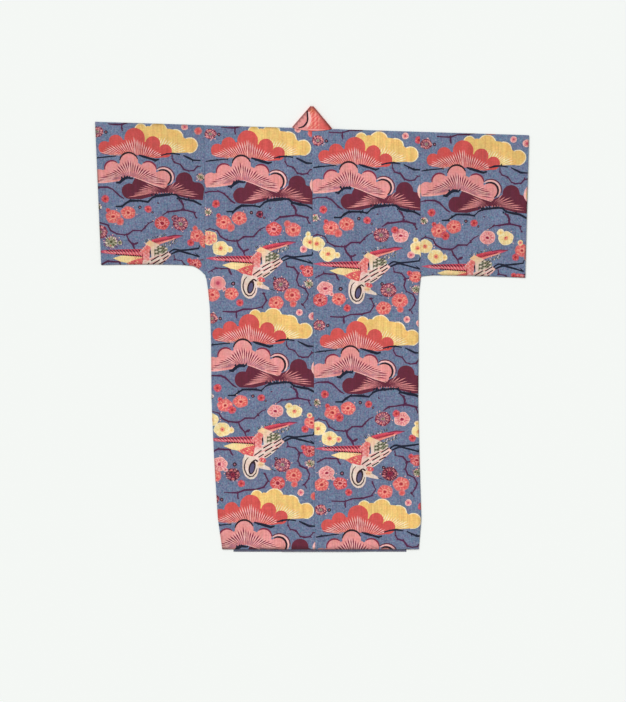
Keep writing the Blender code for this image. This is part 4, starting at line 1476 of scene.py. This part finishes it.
def mesh_of(name, points, faces):
    mesh = bpy.data.meshes.new(name)
    mesh.vertices.add(len(points))
    mesh.vertices.foreach_set("co", points.ravel())
    mesh.loops.add(3 * len(faces))
    mesh.loops.foreach_set("vertex_index", faces.ravel().astype(np.int32))
    mesh.polygons.add(len(faces))
    mesh.polygons.foreach_set("loop_start", np.arange(0, 3 * len(faces), 3, dtype=np.int32))
    mesh.polygons.foreach_set("loop_total", np.full(len(faces), 3, dtype=np.int32))
    mesh.polygons.foreach_set("use_smooth", np.ones(len(faces), bool))
    mesh.update()
    return mesh


def paint(mesh, shown, thread, bake):
    """Each corner's dye, and its places on the thread and on the bake."""
    dye = mesh.color_attributes.new("Dye", "FLOAT_COLOR", "CORNER")
    dye.data.foreach_set("color", shown.astype(np.float32).ravel())
    for layer, values in (("Thread", thread), ("OFBake", bake)):
        mesh.uv_layers.new(name=layer).data.foreach_set("uv", values.astype(np.float32).ravel())
    mesh.uv_layers["OFBake"].active_render = True


def cloth(node, cut, marks, lie, painted_shade, material, cell_size, above=True):
    """A printed sheet with a plainer lining skin and a rim, in place of a solid."""
    places, triangles, tops = triangulate(*cut, marks, GRID)
    border = border_of(triangles)
    lining, lining_triangles, _ = triangulate(places[border].tolist(), cut[1], [], LINING_GRID)
    lining_triangles = lining_triangles[:, ::-1]
    rims = rims_of(places, border, lining)
    both = np.concatenate([places, lining])
    parts = np.concatenate([triangles, lining_triangles + len(places), rims])
    # The rims, the cut edges between the two skins, get a dark maroon and navy dye: painted shade along the
    # cloth's edges
    shown = np.concatenate([dyes_at(marks, places, triangles, tops),
                            np.full((len(lining_triangles), 3, 4), (*INK["reverse"], REVERSE_GROUND)),
                            np.full((len(rims), 3, 4), (*mix(INK["maroon"], INK["navy"], 0.4), 0.0))])
    # painted shade: each corner's dye is darkened at the folds, seams, hems and cuffs
    shown[:, :, :3] *= (1 - np.clip(painted_shade(both[:, 0], both[:, 1]), 0, DARKEST))[parts][:, :, None]
    bake = np.concatenate([strip(places, triangles, cell_size, 0),
                           strip(lining, lining_triangles, cell_size, 1),
                           strip(both, rims, cell_size, 1)])
    turn = 1 if above else -1
    outer, inner = lie(places[:, 0], places[:, 1])[0], lie(lining[:, 0], lining[:, 1])[1]
    mesh = mesh_of(f"cloth_{node}", np.concatenate([outer, inner]), parts[:, ::turn])
    paint(mesh, shown[:, ::turn], both[parts][:, ::turn], bake[:, ::turn])
    mesh.materials.append(material)

    piece = bpy.data.objects.new(f"cloth_{node}", mesh)
    bpy.context.scene.collection.objects.link(piece)
    normals = sheet_normals(both, lie, above)
    normals[len(places):] *= -1
    mesh.normals_split_custom_set_from_vertices(normals.tolist())
    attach(piece, "root")
    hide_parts(node)
    return piece


def sheet_normals(places, lie, above):
    """Normals of the sheet's outer side, from its own form."""
    step = 0.0004
    x, y = places[:, 0], places[:, 1]
    across = lie(x + step, y)[0] - lie(x - step, y)[0]
    along = lie(x, y + step)[0] - lie(x, y - step)[0]
    normal = np.cross(across, along) if above else np.cross(along, across)
    return normal / np.maximum(np.linalg.norm(normal, axis=1, keepdims=True), 1e-12)


# Materials


class Nodes:
    """Adds shader nodes to a material, each with its inputs by name."""

    def __init__(self, name):
        self.material = bpy.data.materials.new(name)
        self.material.use_nodes = True
        self.tree = self.material.node_tree
        self.shader = self.tree.nodes["Principled BSDF"]

    def add(self, kind, settings=None, **inputs):
        node = self.tree.nodes.new(kind)
        for key, value in (settings or {}).items():
            setattr(node, key, value)
        for key, value in inputs.items():
            self.feed(node, key.replace("_", " "), value)
        return node

    def feed(self, node, key, value):
        socket = node.inputs[int(key)] if key.isdigit() else node.inputs[key]
        if isinstance(value, bpy.types.NodeSocket):
            self.tree.links.new(value, socket)
        else:
            socket.default_value = value

    def maths(self, operation, a, b=0.0, c=0.0):
        node = self.add("ShaderNodeMath", {"operation": operation})
        for k, value in enumerate((a, b, c)):
            self.feed(node, str(k), value)
        return node.outputs[0]

    def noise(self, vector, across, along, detail):
        """Noise with so many features per metre across and along."""
        place = self.add("ShaderNodeMapping", Vector=vector, Scale=(across, along, 1.0)).outputs["Vector"]
        return self.add("ShaderNodeTexNoise", Vector=place, Scale=1.0, Detail=detail).outputs["Fac"]

    def spread(self, value, low, high, around=0.2):
        node = self.add("ShaderNodeMapRange", Value=value, To_Min=low, To_Max=high)
        node.inputs["From Min"].default_value = 0.5 - around
        node.inputs["From Max"].default_value = 0.5 + around
        return node.outputs["Result"]

    def blend(self, share, a, b, kind="MIX"):
        node = self.add("ShaderNodeMix", {"data_type": "RGBA", "blend_type": kind})
        self.feed(node, "0", share)
        self.feed(node, "6", a)
        self.feed(node, "7", b)
        return node.outputs[2]


# Patches where the ground took the dye unevenly: features per metre across and along, detail, amount, tint
GROUND_PATCHES = (
    (12.0, 12.0, 2.0, 0.40, (110, 98, 144)),
    (34.0, 34.0, 2.0, 0.80, (70, 132, 150)),
    (44.0, 40.0, 2.0, 0.75, (120, 102, 144)),
    (120.0, 90.0, 1.0, 0.65, (82, 136, 148)),
    (60.0, 50.0, 1.0, 0.55, (126, 148, 176)),
    (100.0, 80.0, 1.0, 0.55, (66, 80, 122)),
    (150.0, 120.0, 1.0, 0.60, (134, 112, 146)),
    (200.0, 170.0, 1.0, 0.55, (140, 160, 178)),
    (260.0, 200.0, 1.0, 0.45, (60, 84, 124)),
)
# Patches where a printed dye is warmer or cooler: features per metre, amount and tint
DYE_MOTTLES = (
    (46.0, 0.45, (255, 230, 218)),
    (62.0, 0.50, (238, 255, 236)),
    (150.0, 0.45, (255, 234, 240)),
)
# Streaks of the thread: features per metre across and along, lightest and darkest
WEAVE_SCALE = 230.0
THREAD_STREAKS = (
    (9.0, 300.0, 0.95, 1.04),
    (90.0, 2.5, 0.95, 1.04),
    (170.0, 170.0, 0.88, 1.08),
    (14.0, 14.0, 0.93, 1.05),
)


def uneven_dye(nodes, thread):
    """The print's colour. The ground has patches of its own, and the printed dyes have mottles."""
    dye = nodes.add("ShaderNodeVertexColor", {"layer_name": "Dye"})
    colour, ground = dye.outputs["Color"], dye.outputs["Alpha"]
    for across, along, detail, amount, tint in GROUND_PATCHES:
        patch = nodes.noise(thread, across, along, detail)
        share = nodes.maths("MULTIPLY", nodes.spread(patch, 0.0, amount, 0.12), ground)
        colour = nodes.blend(share, colour, (*linear(tint), 1.0))
    printed_share = nodes.maths("SUBTRACT", 1.0, ground)
    for features, amount, tint in DYE_MOTTLES:
        patch = nodes.noise(thread, features, 0.8 * features, 1.0)
        share = nodes.maths("MULTIPLY", nodes.spread(patch, 0.0, amount, 0.14), printed_share)
        colour = nodes.blend(share, colour, (*linear(tint), 1.0), "MULTIPLY")
    return colour


def streaked(nodes, thread, slubs, colour):
    """The colour, lighter and darker along the threads."""
    depth = nodes.spread(slubs, 0.88, 1.12)
    for across, along, low, high in THREAD_STREAKS:
        streak = nodes.noise(thread, across, along, 2.0)
        depth = nodes.maths("MULTIPLY", depth, nodes.spread(streak, low, high))
    tint = nodes.add("ShaderNodeCombineColor", Red=depth, Green=depth, Blue=depth).outputs[0]
    return nodes.blend(1.0, colour, tint, "MULTIPLY")


def woven(nodes, thread, slubs):
    """The normal of a plain weave, with thicker threads and soft creases."""
    waves = [nodes.add("ShaderNodeTexWave", {"wave_type": "BANDS", "bands_direction": direction},
                       Vector=thread, Scale=WEAVE_SCALE, Distortion=0.6) for direction in "XY"]
    weave = nodes.maths("MAXIMUM", *(wave.outputs["Fac"] for wave in waves))
    creases = nodes.noise(thread, 16.0, 11.0, 3.0)
    fine = nodes.add("ShaderNodeBump", Strength=0.35, Distance=0.00012, Height=weave)
    thick = nodes.add("ShaderNodeBump", Strength=0.5, Distance=0.0004, Height=slubs,
                      Normal=fine.outputs["Normal"])
    soft = nodes.add("ShaderNodeBump", Strength=0.5, Distance=0.004, Height=creases,
                     Normal=thick.outputs["Normal"])
    return soft.outputs["Normal"]


def dyed_cotton(name):
    """Plain-woven cotton with slubs, whose ground took the dye unevenly."""
    nodes = Nodes(name)
    thread = nodes.add("ShaderNodeUVMap", {"uv_map": "Thread"}).outputs["UV"]
    slubs = nodes.noise(thread, 260.0, 7.0, 2.0)
    nodes.feed(nodes.shader, "Base Color", streaked(nodes, thread, slubs, uneven_dye(nodes, thread)))
    nodes.feed(nodes.shader, "Normal", woven(nodes, thread, slubs))
    nodes.feed(nodes.shader, "Roughness", nodes.spread(slubs, 0.84, 0.94))
    nodes.feed(nodes.shader, "Sheen Weight", 0.08)
    nodes.feed(nodes.shader, "Sheen Roughness", 0.6)
    nodes.feed(nodes.shader, "Specular IOR Level", 0.25)
    return nodes.material


# The garment

# For each kind of panel: its cut, lie, painted shade, the stretch of the print that it shows, the size of its
# cell in the bake's map, and whether its outer side faces up
PANELS = {
    "body": (body_cut, lay_body, worn_body, (-LENGTH - 0.01, LENGTH + 0.02), (0.352, 1.385), True),
    "sleeve": (sleeve_cut, lay_sleeve, worn_sleeve, (-0.5, 0.5), (0.356, 0.505), True),
    "okumi": (okumi_cut, lay_okumi, worn_okumi, (0.2, LENGTH + 0.02), (0.12, 1.385), False),
}
COLLAR_CELL = (0.9, 0.9)

cotton = dyed_cotton("dyed_cotton")
collar_cotton = dyed_cotton("dyed_cotton_collar")
for side, word in ((-1, "left"), (1, "right")):
    for kind, (cut, lie, painted_shade, stretch, cell_size, above) in PANELS.items():
        name = f"{kind}_{word}"
        marks = printed(name, *stretch)
        cloth(name, cut(side), marks, partial(lie, side), partial(painted_shade, side),
                             cotton, cell_size, above)
cloth("collar", collar_cut(), collar_marks(), lay_collar, worn_collar,
                         collar_cotton, COLLAR_CELL, above=False)

# Floor, light and camera

FLOOR_HALF = 60.0
FLOOR_DOWN = -0.0004
FLOOR_COLOUR = (0.905, 0.93, 0.905, 1.0)
SUN_FROM = (-2.4, 2.4, 2.6)
SUN_STRENGTH = 2.21
SUN_WIDTH = 30.0  # degrees
ROOM_STRENGTH = 0.575
PIXEL = 0.0032  # metres that a pixel of the photo shows
PHOTO_TALL = 702
VIEW_MIDDLE = (0.0032, -0.0704)


def plain_floor():
    mesh = bpy.data.meshes.new("floor")
    corners = ((-1, -1), (1, -1), (1, 1), (-1, 1))
    mesh.from_pydata([(x * FLOOR_HALF, y * FLOOR_HALF, FLOOR_DOWN) for x, y in corners], [], [(0, 1, 2, 3)])
    floor = bpy.data.objects.new("floor", mesh)
    bpy.context.scene.collection.objects.link(floor)
    nodes = Nodes("pale_floor")
    nodes.feed(nodes.shader, "Base Color", FLOOR_COLOUR)
    nodes.feed(nodes.shader, "Roughness", 0.95)
    nodes.feed(nodes.shader, "Specular IOR Level", 0.0)
    mesh.materials.append(nodes.material)


def soft_sun():
    light = bpy.data.lights.new("soft_light", "SUN")
    light.energy = SUN_STRENGTH
    light.angle = math.radians(SUN_WIDTH)
    lamp = bpy.data.objects.new("soft_light", light)
    lamp.location = SUN_FROM
    lamp.rotation_euler = (-Vector(SUN_FROM)).to_track_quat("-Z", "Y").to_euler()
    bpy.context.scene.collection.objects.link(lamp)


def white_room():
    world = bpy.data.worlds.new("room")
    world.use_nodes = True
    background = world.node_tree.nodes["Background"]
    background.inputs["Color"].default_value = (1.0, 1.0, 1.0, 1.0)
    background.inputs["Strength"].default_value = ROOM_STRENGTH
    bpy.context.scene.world = world
    bpy.context.scene.view_settings.view_transform = "Standard"


def camera():
    """Straight above, with the frame of the photo, which is 626 pixels wide and 702 tall."""
    lens = bpy.data.cameras.new("camera")
    lens.lens, lens.sensor_width, lens.sensor_fit = 85.0, 36.0, "AUTO"
    lens.dof.use_dof = False
    eye = bpy.data.objects.new("camera", lens)
    eye.location = (*VIEW_MIDDLE, PHOTO_TALL * PIXEL * lens.lens / lens.sensor_width)
    eye.rotation_euler = (0, 0, 0)
    bpy.context.scene.collection.objects.link(eye)
    bpy.context.scene.camera = eye


plain_floor()
soft_sun()
white_room()
camera()
